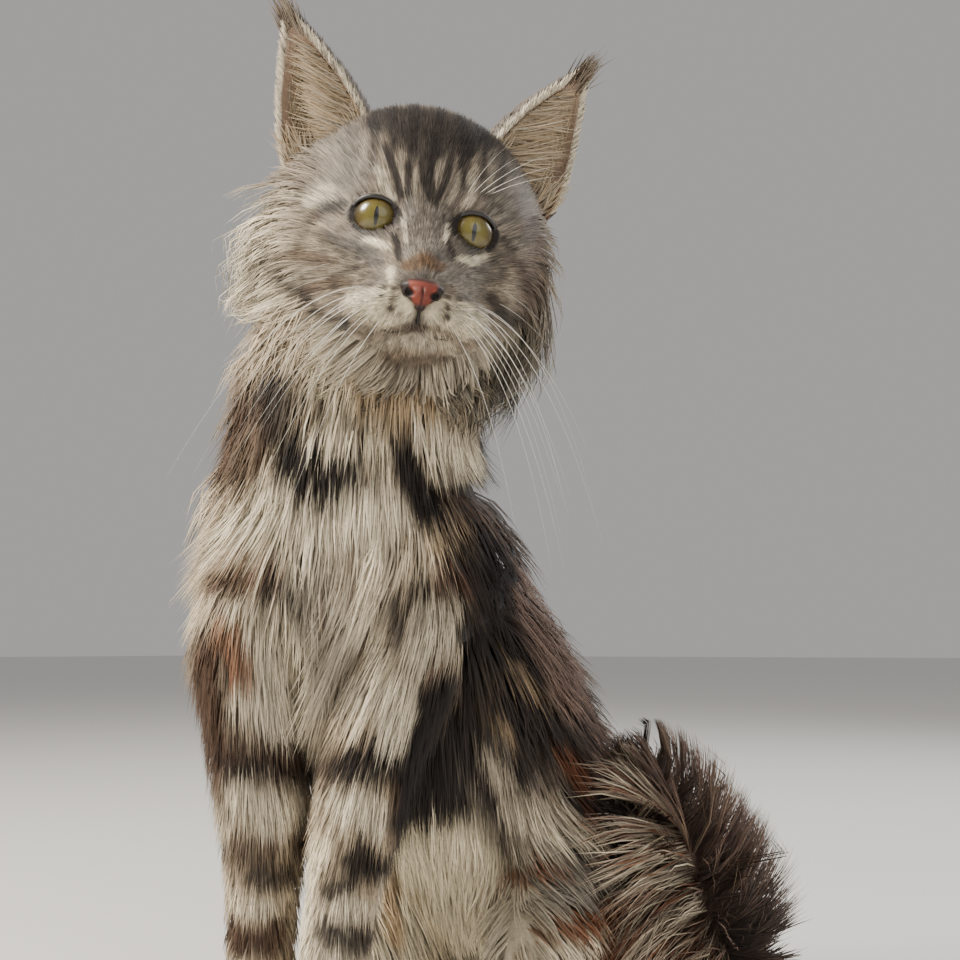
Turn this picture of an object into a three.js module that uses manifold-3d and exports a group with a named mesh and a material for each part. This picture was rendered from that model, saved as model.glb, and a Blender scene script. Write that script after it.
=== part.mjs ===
// Maine Coon cat sitting upright in a harness, life size, in millimetres.
// Its hips face -Y and its chest and head turn to its left, which is +X. Up is +Z, floor at Z = 0.
import * as THREE from "three";
import { mergeVertices } from "three/addons/utils/BufferGeometryUtils.js";
import Module from "manifold-3d";

const wasm = await Module();
wasm.setup();

// Driving dimensions
const GAP = 0.4;
const LEFT = 1;
const RIGHT = -1;

const HEAD_PLACE = new THREE.Vector3(57, 10, 444);
const HEAD_TURN = 42;
const HEAD_NOD = 15;
const HEAD_ROLL = 5.5;
const CHEST_TURN = 34;
const HIP_TURN = -8;

const EYE_SPREAD = 21.5;
const EYE_RADIUS = 11.6;
const EYE_DEPTH = 36;
const EYE_OPENING = 20.5;
const LID_THICK = 2;
const MOUTH_GAP = 0.9;
const EAR_TUFT = 24;

const FORELEG_SPREAD = 19;
const FORELEG_TURN = 12;
const ELBOW_SPREAD = 30;
const ELBOW_HEIGHT = 200;
const PAW_LENGTH = 66;
const PAW_WIDTH = 44;
const PAW_HEIGHT = 30;

const HAUNCH_SPREAD = 48;
const HINDFOOT_SPREAD = 70;

const STRAP_THICK = 2;
const BACK_STRAP_ANGLE = 55;
const BACK_STRAP_HALF = 6;
const COLLAR_SPAN = [0.925, 0.96];
const GIRTH_SPAN = [0.66, 0.69];
const RING_RADIUS = 8;
const RING_WIRE = 1.3;

const LOCK_SINK = 6;
const LOCK_THICK = 4;
const EDGE_MARGIN = 10;

const deg = THREE.MathUtils.degToRad;
const vec = (x, y, z) => new THREE.Vector3(x, y, z);
const UP = vec(0, 0, 1);

// Colours of coat, leather, webbing and steel
const SILVER = 0xa39a8c;
const TABBY = 0x55463a;
const CREAM = 0xd8ccb6;
const PLUME = 0x7c6a5c;
const IRIS = 0x8d8a2c;
const LEATHER = 0x9c4a38;
const WEBBING = 0x16171c;
const STEEL = 0x9a9a9a;

// Seeded variation, so that the coat comes out the same every time
function seeded(seed) {
  let state = seed;
  return () => {
    state = (state * 1664525 + 1013904223) % 4294967296;
    return state / 2147483648 - 1;
  };
}

// Closed meshes and their solids
function closedMesh(points, faces) {
  const geometry = new THREE.BufferGeometry();
  geometry.setAttribute("position", new THREE.Float32BufferAttribute(points, 3));
  geometry.setIndex(faces);
  return geometry;
}

function solidOf(geometry) {
  const bare = geometry.clone();
  bare.deleteAttribute("normal");
  bare.deleteAttribute("uv");
  const merged = mergeVertices(bare, 1e-4);
  const mesh = new wasm.Mesh({
    numProp: 3,
    vertProperties: new Float32Array(merged.attributes.position.array),
    triVerts: new Uint32Array(merged.index.array),
  });
  mesh.merge();
  const solid = new wasm.Manifold(mesh);
  return solid.volume() < 0 ? flipped(merged) : solid;
}

function flipped(merged) {
  const faces = Array.from(merged.index.array);
  for (let i = 0; i < faces.length; i += 3) {
    [faces[i + 1], faces[i + 2]] = [faces[i + 2], faces[i + 1]];
  }
  return solidOf(closedMesh(Array.from(merged.attributes.position.array), faces));
}

function geometryOf(solid) {
  const mesh = solid.getMesh();
  const points = Array.from({ length: mesh.numVert }, (_, i) => Array.from(mesh.position(i)));
  const geometry = closedMesh(points.flat(), Array.from(mesh.triVerts));
  geometry.computeVertexNormals();
  return geometry;
}

function join(solids) {
  return solids.reduce((all, one) => all.add(one));
}

function cut(solid, tools) {
  return tools.reduce((rest, tool) => rest.subtract(tool), solid);
}

function largest(solid) {
  return solid.decompose().reduce((best, piece) => (piece.volume() > best.volume() ? piece : best));
}

// Several forms taken as one; a form gives its solid, grown all round by a margin if asked
function forms(...parts) {
  return { solid: (grow = 0) => join(parts.map((part) => part.solid(grow))) };
}

function placed(form, matrix) {
  return { solid: (grow = 0) => form.solid(grow).transform(matrix.elements) };
}

// A body form lofted along a smooth axis. Each station has its centre, its half width along
// the side axis, its half depths behind and before the axis, and the turn of its side axis.
function station(x, y, z, width, back, front = back, turn = 0) {
  return { centre: vec(x, y, z), width, back, front, turn };
}

function bodyForm(stations, { rings, sides, side = vec(1, 0, 0), facing = null }) {
  const smooth = (points) => new THREE.CatmullRomCurve3(points, false, "catmullrom");
  const axis = smooth(stations.map((s) => s.centre));
  const sizes = smooth(stations.map((s) => vec(s.width, s.back, s.front)));
  const turns = smooth(stations.map((s) => vec(s.turn, 0, 0)));
  const heading = (t) => (facing ? facing.clone() : axis.getTangent(t));
  const place = (t, angle, grow = 0) => {
    const along = heading(t);
    const aside = side.clone().applyAxisAngle(UP, deg(turns.getPoint(t).x));
    const across = aside.addScaledVector(along, -aside.dot(along)).normalize();
    const depth = along.clone().cross(across);
    const size = sizes.getPoint(t);
    const [c, s] = [Math.cos(angle), Math.sin(angle)];
    const point = axis.getPoint(t).addScaledVector(across, c * (size.x + grow));
    return point.addScaledVector(depth, s * ((s > 0 ? size.y : size.z) + grow));
  };
  const solid = (grow = 0) => {
    const points = [];
    const faces = [];
    for (let i = 0; i <= rings; i += 1) {
      for (let j = 0; j < sides; j += 1) {
        points.push(...place(i / rings, (2 * Math.PI * j) / sides, grow).toArray());
      }
    }
    for (const t of [0, 1]) {
      const outward = heading(t).multiplyScalar(t ? 1 : -1);
      points.push(...axis.getPoint(t).addScaledVector(outward, sizes.getPoint(t).x / 3 + grow).toArray());
    }
    const first = (rings + 1) * sides;
    for (let j = 0; j < sides; j += 1) {
      const next = (j + 1) % sides;
      for (let i = 0; i < rings; i += 1) {
        const a = i * sides + j;
        const b = i * sides + next;
        faces.push(a, b, b + sides, a, b + sides, a + sides);
      }
      faces.push(first, next, j);
      faces.push(first + 1, rings * sides + j, rings * sides + next);
    }
    return solidOf(closedMesh(points, faces));
  };
  const skin = (t, degrees) => {
    const angle = deg(degrees);
    const point = place(t, angle);
    const round = place(t, angle + 0.01).sub(place(t, angle - 0.01));
    const along = place(Math.min(t + 0.01, 1), angle).sub(place(Math.max(t - 0.01, 0), angle));
    return { point, along: along.normalize(), out: round.cross(along).normalize() };
  };
  return { place, solid, skin };
}

// An egg-shaped form, turned about its own axes
function egg(centre, radii, turn = [0, 0, 0], segments = [10, 7]) {
  const matrix = new THREE.Matrix4()
    .makeTranslation(centre)
    .multiply(new THREE.Matrix4().makeRotationZ(deg(turn[2])))
    .multiply(new THREE.Matrix4().makeRotationY(deg(turn[1])))
    .multiply(new THREE.Matrix4().makeRotationX(deg(turn[0])));
  const solid = (grow = 0) => {
    const ball = new THREE.SphereGeometry(1, ...segments);
    ball.rotateX(Math.PI / 2);
    ball.scale(radii[0] + grow, radii[1] + grow, radii[2] + grow);
    ball.applyMatrix4(matrix);
    return solidOf(ball);
  };
  const skin = (rise, around) => {
    const level = Math.cos(deg(rise));
    const [x, y] = [level * Math.cos(deg(around)), level * Math.sin(deg(around))];
    const z = Math.sin(deg(rise));
    const point = vec(x * radii[0], y * radii[1], z * radii[2]).applyMatrix4(matrix);
    const out = vec(x / radii[0], y / radii[1], z / radii[2]).transformDirection(matrix);
    return { point, along: UP.clone(), out };
  };
  return { solid, skin };
}

// One flat lock of hair: rooted under the skin, rising off it and bending to the lie of the coat.
// Its section is a low ridge on a flat underside. The margin is wider at its thin edges and tip.
function lock({ point, out }, flow, { length, width, rise, thick = LOCK_THICK, roll = 0 }) {
  const path = new THREE.QuadraticBezierCurve3(
    point.clone().addScaledVector(out, -LOCK_SINK),
    point.clone().addScaledVector(out, rise).addScaledVector(flow, length * 0.34),
    point.clone().addScaledVector(out, rise * 0.7).addScaledVector(flow, length),
  );
  const across = flow.clone().cross(out).normalize().applyAxisAngle(flow, deg(roll));
  const rings = [
    [0, 0.75, 1],
    [0.4, 1, 1],
    [0.76, 0.6, 0.7],
  ];
  const solid = (grow = 0) => {
    const points = [];
    const edge = grow * EDGE_MARGIN;
    for (const [t, wide, deep] of rings) {
      const up = across.clone().cross(path.getTangent(t)).normalize();
      const centre = path.getPoint(t).addScaledVector(up, -grow);
      const half = (width * wide) / 2 + edge;
      points.push(...centre.clone().addScaledVector(across, half).toArray());
      points.push(...centre.clone().addScaledVector(up, thick * deep + 2.5 * grow).toArray());
      points.push(...centre.clone().addScaledVector(across, -half).toArray());
    }
    points.push(...path.getPoint(1).addScaledVector(path.getTangent(1), edge).toArray());
    const faces = [0, 1, 2, 6, 9, 7, 7, 9, 8, 8, 9, 6];
    for (const a of [0, 1, 2, 3, 4, 5]) {
      const b = a % 3 === 2 ? a - 2 : a + 1;
      faces.push(a, a + 3, b + 3, a, b + 3, b);
    }
    return solidOf(closedMesh(points, faces));
  };
  return { solid };
}

// Rows of locks round a form: each row has its station, its first and last angle, how many
// locks, their length, width and rise. The flow turns a place on the skin into the hair's lie.
function coat(form, rows, flow, seed, { thick = LOCK_THICK, turn = 0 } = {}) {
  const vary = seeded(seed);
  return rows.flatMap(([at, from, to, count, length, width, rise]) =>
    Array.from({ length: count }, (_, i) => {
      const share = count > 1 ? i / (count - 1) : 0.5;
      const spot = form.skin(at + vary() * 0.015, from + (to - from) * share + vary() * 4);
      const lie = flow(spot).addScaledVector(vec(vary(), vary(), vary()), 0.12);
      const inward = Math.min(lie.dot(spot.out), 0);
      lie.addScaledVector(spot.out, -inward).normalize();
      const sizes = { length: length * (1 + 0.15 * vary()), width: width * (1 + 0.15 * vary()), rise };
      return lock(spot, lie, { ...sizes, thick, roll: turn * vary() });
    }),
  );
}

// Lies of the coat: down the body towards the tail, over the chest, down and behind a leg,
// straight down, and along a given way
const downBody = (drop) => (spot) => spot.along.clone().negate().addScaledVector(UP, -drop);
const overChest = (spot) => downBody(1)(spot).addScaledVector(spot.out, 0.1 - 0.3 * spot.out.y);
const downLeg = (back) => (spot) => spot.along.clone().add(vec(0, back, 0));
const hanging = (spot) => vec(0, 0, -1).addScaledVector(spot.out, 0.15);
const towards = (x, y, z) => () => vec(x, y, z);

// The head's own frame: origin between the eyes, -Y forward, +X to the cat's left
const headFrame = new THREE.Matrix4()
  .makeTranslation(HEAD_PLACE)
  .multiply(new THREE.Matrix4().makeRotationZ(deg(HEAD_TURN)))
  .multiply(new THREE.Matrix4().makeRotationX(deg(HEAD_NOD)))
  .multiply(new THREE.Matrix4().makeRotationY(deg(HEAD_ROLL)));
const inHead = (form) => placed(form, headFrame);

// Torso: rump on the floor, back rising to the withers, deep chest turned to the left
const torso = bodyForm(
  [
    station(0, 236, 10, 28, 32, 25, HIP_TURN),
    station(0, 232, 62, 50, 53, 48, HIP_TURN),
    station(0, 206, 122, 59, 71, 64, HIP_TURN / 2),
    station(0, 160, 180, 60, 76, 70, CHEST_TURN * 0.25),
    station(-4, 112, 232, 66, 74, 70, CHEST_TURN * 0.55),
    station(-9, 70, 284, 72, 61, 64, CHEST_TURN * 0.85),
    station(-10, 46, 328, 70, 47, 54, CHEST_TURN),
    station(-6, 42, 366, 50, 36, 38, CHEST_TURN),
  ],
  { rings: 12, sides: 16 },
);
const chestRows = [
  [0.93, 210, 334, 5, 70, 42, 12],
  [0.83, 218, 322, 4, 80, 46, 18],
  [0.72, 240, 304, 3, 88, 44, 18],
  [0.62, 250, 294, 2, 92, 40, 16],
];
const flankRows = [0.76, 0.52].flatMap((at) => [
  [at, -34, 20, 2, 70, 50, 12],
  [at, 160, 214, 2, 70, 50, 12],
]);
const backRows = [0.8, 0.58, 0.36].map((at) => [at, 52, 128, 3, 84, 54, 11]);
const underRows = [[0.42, 236, 304, 3, 70, 42, 12]];
const rumpRows = [[0.13, 40, 140, 3, 54, 50, 10]];
const torsoCoat = [
  ...coat(torso, chestRows, hanging, 11),
  ...coat(torso, [...flankRows, ...backRows, ...rumpRows], downBody(0.25), 12),
  ...coat(torso, underRows, hanging, 13),
];

// Neck and its ruff
const neck = bodyForm(
  [
    station(-6, 42, 344, 58, 46, 52, CHEST_TURN),
    station(2, 38, 384, 58, 44, 48, CHEST_TURN),
    station(18, 34, 414, 50, 42, 42, CHEST_TURN),
    station(30, 28, 438, 36, 34, 30, CHEST_TURN),
  ],
  { rings: 5, sides: 12, facing: vec(0.26, -0.1, 0.96).normalize() },
);
const ruffRows = [
  [0.34, 22, 337, 7, 74, 54, 15],
  [0.78, 0, 300, 6, 78, 56, 18],
];
const ruff = coat(neck, ruffRows, overChest, 21);

// Skull, cheeks and muzzle along the head's own depth
const skull = bodyForm(
  [
    station(0, 62, 6, 20, 16, 18),
    station(0, 48, 6, 48, 34, 38),
    station(0, 26, 4, 60, 56, 52),
    station(0, 0, 2, 63, 64, 62),
    station(0, -20, -2, 57, 58, 64),
    station(0, -36, -8, 46, 42, 58),
    station(0, -48, -18, 32, 28, 46),
    station(0, -62, -30, 24, 18, 30),
    station(0, -74, -35, 17, 12, 22),
  ],
  { rings: 13, sides: 16, facing: vec(0, -1, 0) },
);
const muzzle = forms(
  egg(vec(16, -61, -43), [18, 18, 14], [0, 0, -16], [9, 6]),
  egg(vec(-16, -61, -43), [18, 18, 14], [0, 0, 16], [9, 6]),
  egg(vec(0, -54, -52), [16, 17, 11], [0, 0, 0], [9, 6]),
);
const leftCheekRows = [
  [0.56, -66, -16, 3, 44, 32, 8],
  [0.42, -66, 4, 3, 54, 40, 12],
  [0.26, -66, 4, 4, 58, 38, 14],
];
const rightCheekRows = [
  [0.52, 240, 180, 3, 40, 38, 9],
  [0.38, 244, 160, 4, 46, 44, 12],
  [0.24, 246, 168, 4, 52, 44, 12],
];
const cheekCoat = [
  ...coat(skull, leftCheekRows, towards(0.36, 0.52, -0.78), 32),
  ...coat(skull, rightCheekRows, towards(-0.62, 0.3, -0.72), 30),
];

// Eyes, their lids and the almond openings between the lids
const eyePlace = (side) => vec(side * EYE_SPREAD, -EYE_DEPTH, 0);
const roundEye = (side, radius) => egg(eyePlace(side), [radius, radius, radius], [0, 0, 0], [9, 6]);

function lidOpening(side) {
  const place = eyePlace(side).add(vec(side, -14, 0));
  return egg(place, [EYE_OPENING / 2, 19, EYE_OPENING * 0.43], [0, side * -8, side * 8]);
}

// Nose leather with two nostrils
const noseLeather = forms(
  egg(vec(0, -75, -32), [10.5, 7, 5], [0, 0, 0], [8, 5]),
  egg(vec(0, -74, -36), [6, 6.5, 6], [0, 0, 0], [8, 5]),
);
const nostril = (side) => egg(vec(side * 5, -82, -33), [2.2, 4, 1.5], [0, side * 25, 0], [6, 4]);

// Line of the mouth, with the split lip above it
function mouthLine() {
  const half = [vec(26, -38, 0), vec(17, -48, 0), vec(7, -50, 0)];
  const mirrored = half.map((p) => vec(-p.x, p.y, 0)).reverse();
  const line = new THREE.CatmullRomCurve3([...half, vec(0, -46, 0), ...mirrored]);
  const path = line.getPoints(10);
  const shape = new THREE.Shape();
  path.forEach((p, i) => (i ? shape.lineTo(p.x, p.y) : shape.moveTo(p.x, p.y)));
  path.reverse().forEach((p) => shape.lineTo(p.x, p.y - MOUTH_GAP));
  const slit = new THREE.ExtrudeGeometry(shape, { depth: 30, bevelEnabled: false });
  slit.rotateX(Math.PI / 2);
  slit.translate(0, -64, 0);
  const split = new THREE.BoxGeometry(MOUTH_GAP, 16, 9);
  split.translate(0, -80, -43);
  return solidOf(slit).add(solidOf(split));
}

const lids = [LEFT, RIGHT].map((side) => roundEye(side, EYE_RADIUS + LID_THICK));
const headFlesh = forms(skull, muzzle, ...lids);
const headCuts = [lidOpening(LEFT).solid(), lidOpening(RIGHT).solid(), mouthLine()];
const head = { solid: (grow = 0) => (grow ? headFlesh.solid(grow) : cut(headFlesh.solid(), headCuts)) };
const noseCuts = [nostril(LEFT).solid(), nostril(RIGHT).solid()];
const nose = { solid: (grow = 0) => (grow ? noseLeather.solid(grow) : cut(noseLeather.solid(), noseCuts)) };

// Ears as cups open to the front, with tufts at the tip and fringes across the cup
const earTip = (side) => vec(side * 73, 12, 96);
const earBase = (side) => vec(side * 45, 10, 34);

function earCup(side, shift, thin, reach) {
  const lean = earTip(side).sub(earBase(side));
  const forward = vec(side * 0.4, -1, 0).setLength(shift);
  const shape = [
    [0, 24, 17],
    [0.3, 22, 15],
    [0.6, 15, 10],
    [0.85, 7, 5],
    [1, 2.5, 2.2],
  ];
  const stations = shape.map(([t, width, depth]) => {
    const centre = earBase(side).addScaledVector(lean, t * reach).add(forward);
    return station(...centre.toArray(), Math.max(width - thin, 0.8), Math.max(depth - thin, 0.8));
  });
  return bodyForm(stations, { rings: 5, sides: 10, side: vec(side * 0.86, 0.3, -0.4) });
}

function ear(side) {
  const shell = earCup(side, 0, 0, 1);
  const hollow = earCup(side, 9, 2.2, 0.93).solid();
  return { solid: (grow = 0) => (grow ? shell.solid(grow) : shell.solid().subtract(hollow)) };
}

function earCoat(side) {
  const shell = earCup(side, 0, 0, 1);
  const lean = earTip(side).sub(earBase(side)).normalize();
  const tufts = [-0.12, 0.12].map((splay) => {
    const root = { point: earTip(side).addScaledVector(lean, -4), out: vec(0, -1, 0) };
    const flow = lean.clone().add(vec(splay * side, 0.1, splay)).normalize();
    return lock(root, flow, { length: EAR_TUFT, width: 7, rise: 0.5, thick: 2.4 });
  });
  const fringes = [0.32, 0.6].map((t) => {
    const { point } = shell.skin(t, 180 + side * 24);
    const flow = vec(side * 0.93, -0.12, 0.34).normalize();
    const size = { length: 40 * (1 - t) + 8, width: 13, rise: 5, thick: 1.8 };
    return lock({ point, out: vec(side * -0.3, -1, 0).normalize() }, flow, size);
  });
  return [...tufts, ...fringes];
}

// Forelegs, straight down from the chest, with feathering behind the elbow
function acrossChest(side, spread, turn, y) {
  return [side * spread * Math.cos(deg(turn)), y + side * spread * Math.sin(deg(turn))];
}

function foreleg(side) {
  const level = (spread, turn, y, z, ...sizes) => {
    return station(...acrossChest(side, spread, turn, y), z, ...sizes, turn);
  };
  return bodyForm(
    [
      level(ELBOW_SPREAD + 5, CHEST_TURN, 34, 306, 16, 24, 20),
      level(ELBOW_SPREAD + 10, CHEST_TURN, 22, 258, 27, 39, 32),
      level(ELBOW_SPREAD, 28, 12, ELBOW_HEIGHT + 8, 22, 31, 26),
      level(ELBOW_SPREAD - 7, 22, 7, ELBOW_HEIGHT - 34, 18.5, 24, 21),
      level(FORELEG_SPREAD + 1, 16, 3, 128, 16, 20, 18),
      level(FORELEG_SPREAD, FORELEG_TURN, 1, 80, 15.5, 18, 16.5),
      level(FORELEG_SPREAD + 1, FORELEG_TURN, -2, 24, 16, 18, 17),
    ],
    { rings: 9, sides: 12 },
  );
}

// Feathers behind the elbow, and the longer coat over the shoulder
function feathers(leg, side, seed) {
  const [outer, rear] = side === LEFT ? [-10, -105] : [190, 285];
  const elbowRows = [
    [0.34, outer, rear, 3, 50, 36, 4],
    [0.54, outer, rear, 2, 42, 30, 4],
  ];
  const shoulderRows = [[0.2, outer, outer, 1, 46, 46, 0]];
  return [
    ...coat(leg, elbowRows, downLeg(0.3), seed),
    ...coat(leg, shoulderRows, downLeg(0), seed + 1),
  ];
}

// A paw with four toes, resting on a flat sole
function paw([x, y], turn) {
  const toes = [-0.72, -0.26, 0.26, 0.72].map((k) => {
    const reach = PAW_LENGTH * (0.44 - 0.1 * Math.abs(k));
    const place = vec(k * PAW_WIDTH * 0.47, -reach, PAW_HEIGHT * 0.36);
    return egg(place, [PAW_WIDTH * 0.15, PAW_LENGTH * 0.17, PAW_HEIGHT * 0.42], [0, 0, k * 14], [5, 4]);
  });
  const radii = [PAW_WIDTH / 2, PAW_LENGTH / 2.3, PAW_HEIGHT * 0.56];
  const heel = egg(vec(0, 0, PAW_HEIGHT * 0.42), radii, [0, 0, 0], [9, 5]);
  const matrix = new THREE.Matrix4().makeTranslation(x, y, 0);
  return placed(forms(heel, ...toes), matrix.multiply(new THREE.Matrix4().makeRotationZ(deg(turn))));
}

// Haunch with the folded thigh and knee, britches behind it
const thigh = (side) => egg(vec(side * HAUNCH_SPREAD, 182, 108), [34, 76, 72], [-14, 0, 0], [14, 9]);
const knee = (side) => egg(vec(side * 58, 126, 92), [26, 36, 40]);
const haunch = (side) => forms(thigh(side), knee(side));

const britches = (side) => {
  const [outer, rear] = side === LEFT ? [0, 100] : [180, 80];
  const rows = [
    [34, outer, rear, 2, 72, 62, 9],
    [-2, outer, rear, 2, 66, 64, 11],
    [-30, outer, rear, 2, 50, 50, 9],
  ];
  const kneeRows = [[14, outer - side * 66, outer, 2, 52, 38, 7]];
  return [
    ...coat(thigh(side), rows, towards(side * 0.2, 0.62, -0.74), 41 + side),
    ...coat(knee(side), kneeRows, towards(side * 0.15, 0.35, -0.9), 44 + side),
  ];
};

// Hind foot, flat on the floor from the hock to the toes
function hindfoot(side) {
  return bodyForm(
    [
      station(side * (HINDFOOT_SPREAD - 6), 232, 17, 14, 15, 17),
      station(side * (HINDFOOT_SPREAD - 3), 190, 14, 17, 15, 16),
      station(side * HINDFOOT_SPREAD, 140, 13, 18, 14, 15),
      station(side * (HINDFOOT_SPREAD + 1), 104, 13, 19, 14, 15),
    ],
    { rings: 4, sides: 10 },
  );
}

// Tail: along the floor behind the rump, then up beside the left haunch, hair standing all round
const tailStations = [
  station(0, 276, 34, 18, 18),
  station(28, 302, 22, 20, 22),
  station(62, 312, 22, 21, 22),
  station(92, 300, 32, 22, 22),
  station(104, 268, 66, 22, 22),
  station(100, 240, 104, 22, 22),
  station(94, 226, 131, 21, 21),
  station(87, 219, 153, 17, 17),
  station(80, 214, 170, 11, 11),
  station(75, 211, 182, 4, 4),
];

function tailLength(from, to) {
  const shape = { rings: 2 * (to - from), sides: 10, side: vec(0.6, 0.8, 0) };
  return bodyForm(tailStations.slice(from, to + 1), shape);
}

const plume = (lean) => (spot) => spot.along.clone().multiplyScalar(lean).add(spot.out);
const tailRoot = tailLength(0, 3);
const tailMiddle = tailLength(3, 6);
const tailEnd = tailLength(6, 9);
const rootRows = [
  [0.3, -70, 60, 3, 54, 42, 6],
  [0.7, -70, 60, 3, 60, 42, 8],
];
const middleRows = [
  [0.12, -100, 60, 4, 60, 40, 8],
  [0.42, -120, 70, 4, 66, 44, 8],
  [0.74, -125, 75, 5, 66, 42, 8],
];
const endRows = [
  [0.08, -130, 80, 5, 64, 44, 8],
  [0.42, -130, 85, 4, 60, 44, 6],
  [0.76, -150, 150, 5, 52, 32, 3],
];
const bushy = { thick: 9, turn: 50 };
const rootCoat = coat(tailRoot, rootRows, plume(1.3), 51, bushy);
const middleCoat = coat(tailMiddle, middleRows, plume(0.85), 52, bushy);
const endCoat = coat(tailEnd, endRows, plume(0.9), 53, bushy);

// Harness webbing laid on the torso, as a closed loop of cross sections or a strip with two ends
function webbing(sections, closed) {
  const solid = (grow = 0) => {
    const points = sections(grow).flatMap((corners) => corners.flatMap((corner) => corner.toArray()));
    const count = points.length / 12;
    const faces = [];
    for (let i = 0; i < count - (closed ? 0 : 1); i += 1) {
      const next = (i + 1) % count;
      for (let k = 0; k < 4; k += 1) {
        const [a, b] = [4 * i + k, 4 * i + ((k + 1) % 4)];
        const [c, d] = [4 * next + ((k + 1) % 4), 4 * next + k];
        faces.push(a, b, c, a, c, d);
      }
    }
    const last = 4 * (count - 1);
    if (!closed) faces.push(0, 2, 1, 0, 3, 2, last, last + 1, last + 2, last, last + 2, last + 3);
    return solidOf(closedMesh(points, faces));
  };
  return { solid };
}

// Upper and lower face of a strap lying on the coat's core, and a margin along the body
const layers = (grow) => [STRAP_THICK + 2 * GAP + grow, 2 * GAP - grow];
const alongBody = (grow) => grow / 180;

function hoop([from, to]) {
  const turns = Array.from({ length: 16 }, (_, i) => (2 * Math.PI * i) / 16);
  const corners = (angle, grow) => {
    const [over, under] = layers(grow);
    const ends = [from - alongBody(grow), to + alongBody(grow)];
    return [
      torso.place(ends[0], angle, under),
      torso.place(ends[0], angle, over),
      torso.place(ends[1], angle, over),
      torso.place(ends[1], angle, under),
    ];
  };
  return webbing((grow) => turns.map((angle) => corners(angle, grow)), true);
}

function backStrap() {
  const steps = 6;
  const from = GIRTH_SPAN[1] + 0.003;
  const to = COLLAR_SPAN[0] - 0.003;
  const corners = (i, grow) => {
    const t = from + ((to - from) * i) / steps;
    const [over, under] = layers(grow);
    const half = BACK_STRAP_HALF + grow;
    const edges = [deg(BACK_STRAP_ANGLE - half), deg(BACK_STRAP_ANGLE + half)];
    return [
      torso.place(t, edges[0], under),
      torso.place(t, edges[0], over),
      torso.place(t, edges[1], over),
      torso.place(t, edges[1], under),
    ];
  };
  return webbing((grow) => Array.from({ length: steps + 1 }, (_, i) => corners(i, grow)), false);
}

// Steel ring standing on the back strap
const ringPlace = torso.place(0.77, deg(BACK_STRAP_ANGLE), STRAP_THICK + RING_RADIUS + RING_WIRE + 4 * GAP);
const ring = {
  solid: (grow = 0) => {
    const torus = new THREE.TorusGeometry(RING_RADIUS, RING_WIRE + grow, 5, 12);
    torus.rotateY(deg(60));
    torus.translate(...ringPlace.toArray());
    return solidOf(torus);
  },
};

// Every node with its form, its colour and the locks it carries, in the order of taking room
const pawAt = (side) => acrossChest(side, FORELEG_SPREAD + 3, FORELEG_TURN, -14);
const hindpawAt = (side) => [side * (HINDFOOT_SPREAD + 2), 92];
const SIDES = [
  ["left", LEFT],
  ["right", RIGHT],
];
const parts = [
  ...SIDES.map(([name, side]) => [`eye_${name}`, inHead(roundEye(side, EYE_RADIUS)), IRIS]),
  ["nose", inHead(nose), LEATHER],
  ["harness_collar", hoop(COLLAR_SPAN), WEBBING],
  ["harness_girth", hoop(GIRTH_SPAN), WEBBING],
  ["harness_back_strap", backStrap(), WEBBING],
  ["harness_ring", ring, STEEL],
  ["head", inHead(head), SILVER, cheekCoat.map(inHead)],
  ...SIDES.map(([name, side]) => [`ear_${name}`, inHead(ear(side)), SILVER, earCoat(side).map(inHead)]),
  ["torso", torso, TABBY, torsoCoat],
  ["neck", neck, CREAM, ruff],
  ...SIDES.map(([name, side]) => [`forepaw_${name}`, paw(pawAt(side), 14 + 6 * side), CREAM]),
  ...SIDES.map(([name, side], i) => {
    const leg = foreleg(side);
    return [`foreleg_${name}`, leg, SILVER, feathers(leg, side, 61 + 2 * i)];
  }),
  ...SIDES.map(([name, side]) => [`hindpaw_${name}`, paw(hindpawAt(side), 8 * side), CREAM]),
  ...SIDES.map(([name, side]) => [`hindfoot_${name}`, hindfoot(side), SILVER]),
  ...SIDES.map(([name, side]) => [`haunch_${name}`, haunch(side), TABBY, britches(side)]),
  ["tail_root", tailRoot, PLUME, rootCoat],
  ["tail_middle", tailMiddle, PLUME, middleCoat],
  ["tail_end", tailEnd, PLUME, endCoat],
];

// Everything below the floor is cut away
function belowFloor() {
  const slab = new THREE.BoxGeometry(900, 900, 200);
  slab.translate(0, 150, -100);
  return solidOf(slab);
}

// Bodies take their room first, then the locks fill what is left between them
const floor = belowFloor();
const bodies = [];
for (const [name, form, colour, locks = []] of parts) {
  const room = cut(form.solid(), [floor, ...bodies.map((body) => body.grown)]);
  bodies.push({ name, colour, locks, solid: largest(room), grown: form.solid(GAP) });
}

const cat = new THREE.Group();
const combed = [];
for (const body of bodies) {
  let solid = body.solid;
  if (body.locks.length) {
    const others = bodies.filter((other) => other !== body).map((other) => other.grown);
    const hair = join(body.locks.map((one) => one.solid()));
    solid = largest(solid.add(cut(hair, [floor, ...others, ...combed])));
    combed.push(join(body.locks.map((one) => one.solid(GAP))));
  }
  const finish = new THREE.MeshStandardMaterial({ color: body.colour, roughness: 0.9, metalness: 0 });
  const mesh = new THREE.Mesh(geometryOf(solid), finish);
  mesh.name = body.name;
  cat.add(mesh);
}

// The origin is under the middle of the cat's box
const box = new THREE.Box3().setFromObject(cat);
const middle = box.getCenter(vec(0, 0, 0));
cat.position.set(-middle.x, -middle.y, -box.min.z);

export default cat;
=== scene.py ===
import math

import bpy
import numpy as np
from bpy.props import FloatProperty, FloatVectorProperty, IntProperty
from mathutils import Matrix, Vector, kdtree
from mathutils.bvhtree import BVHTree


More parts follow.
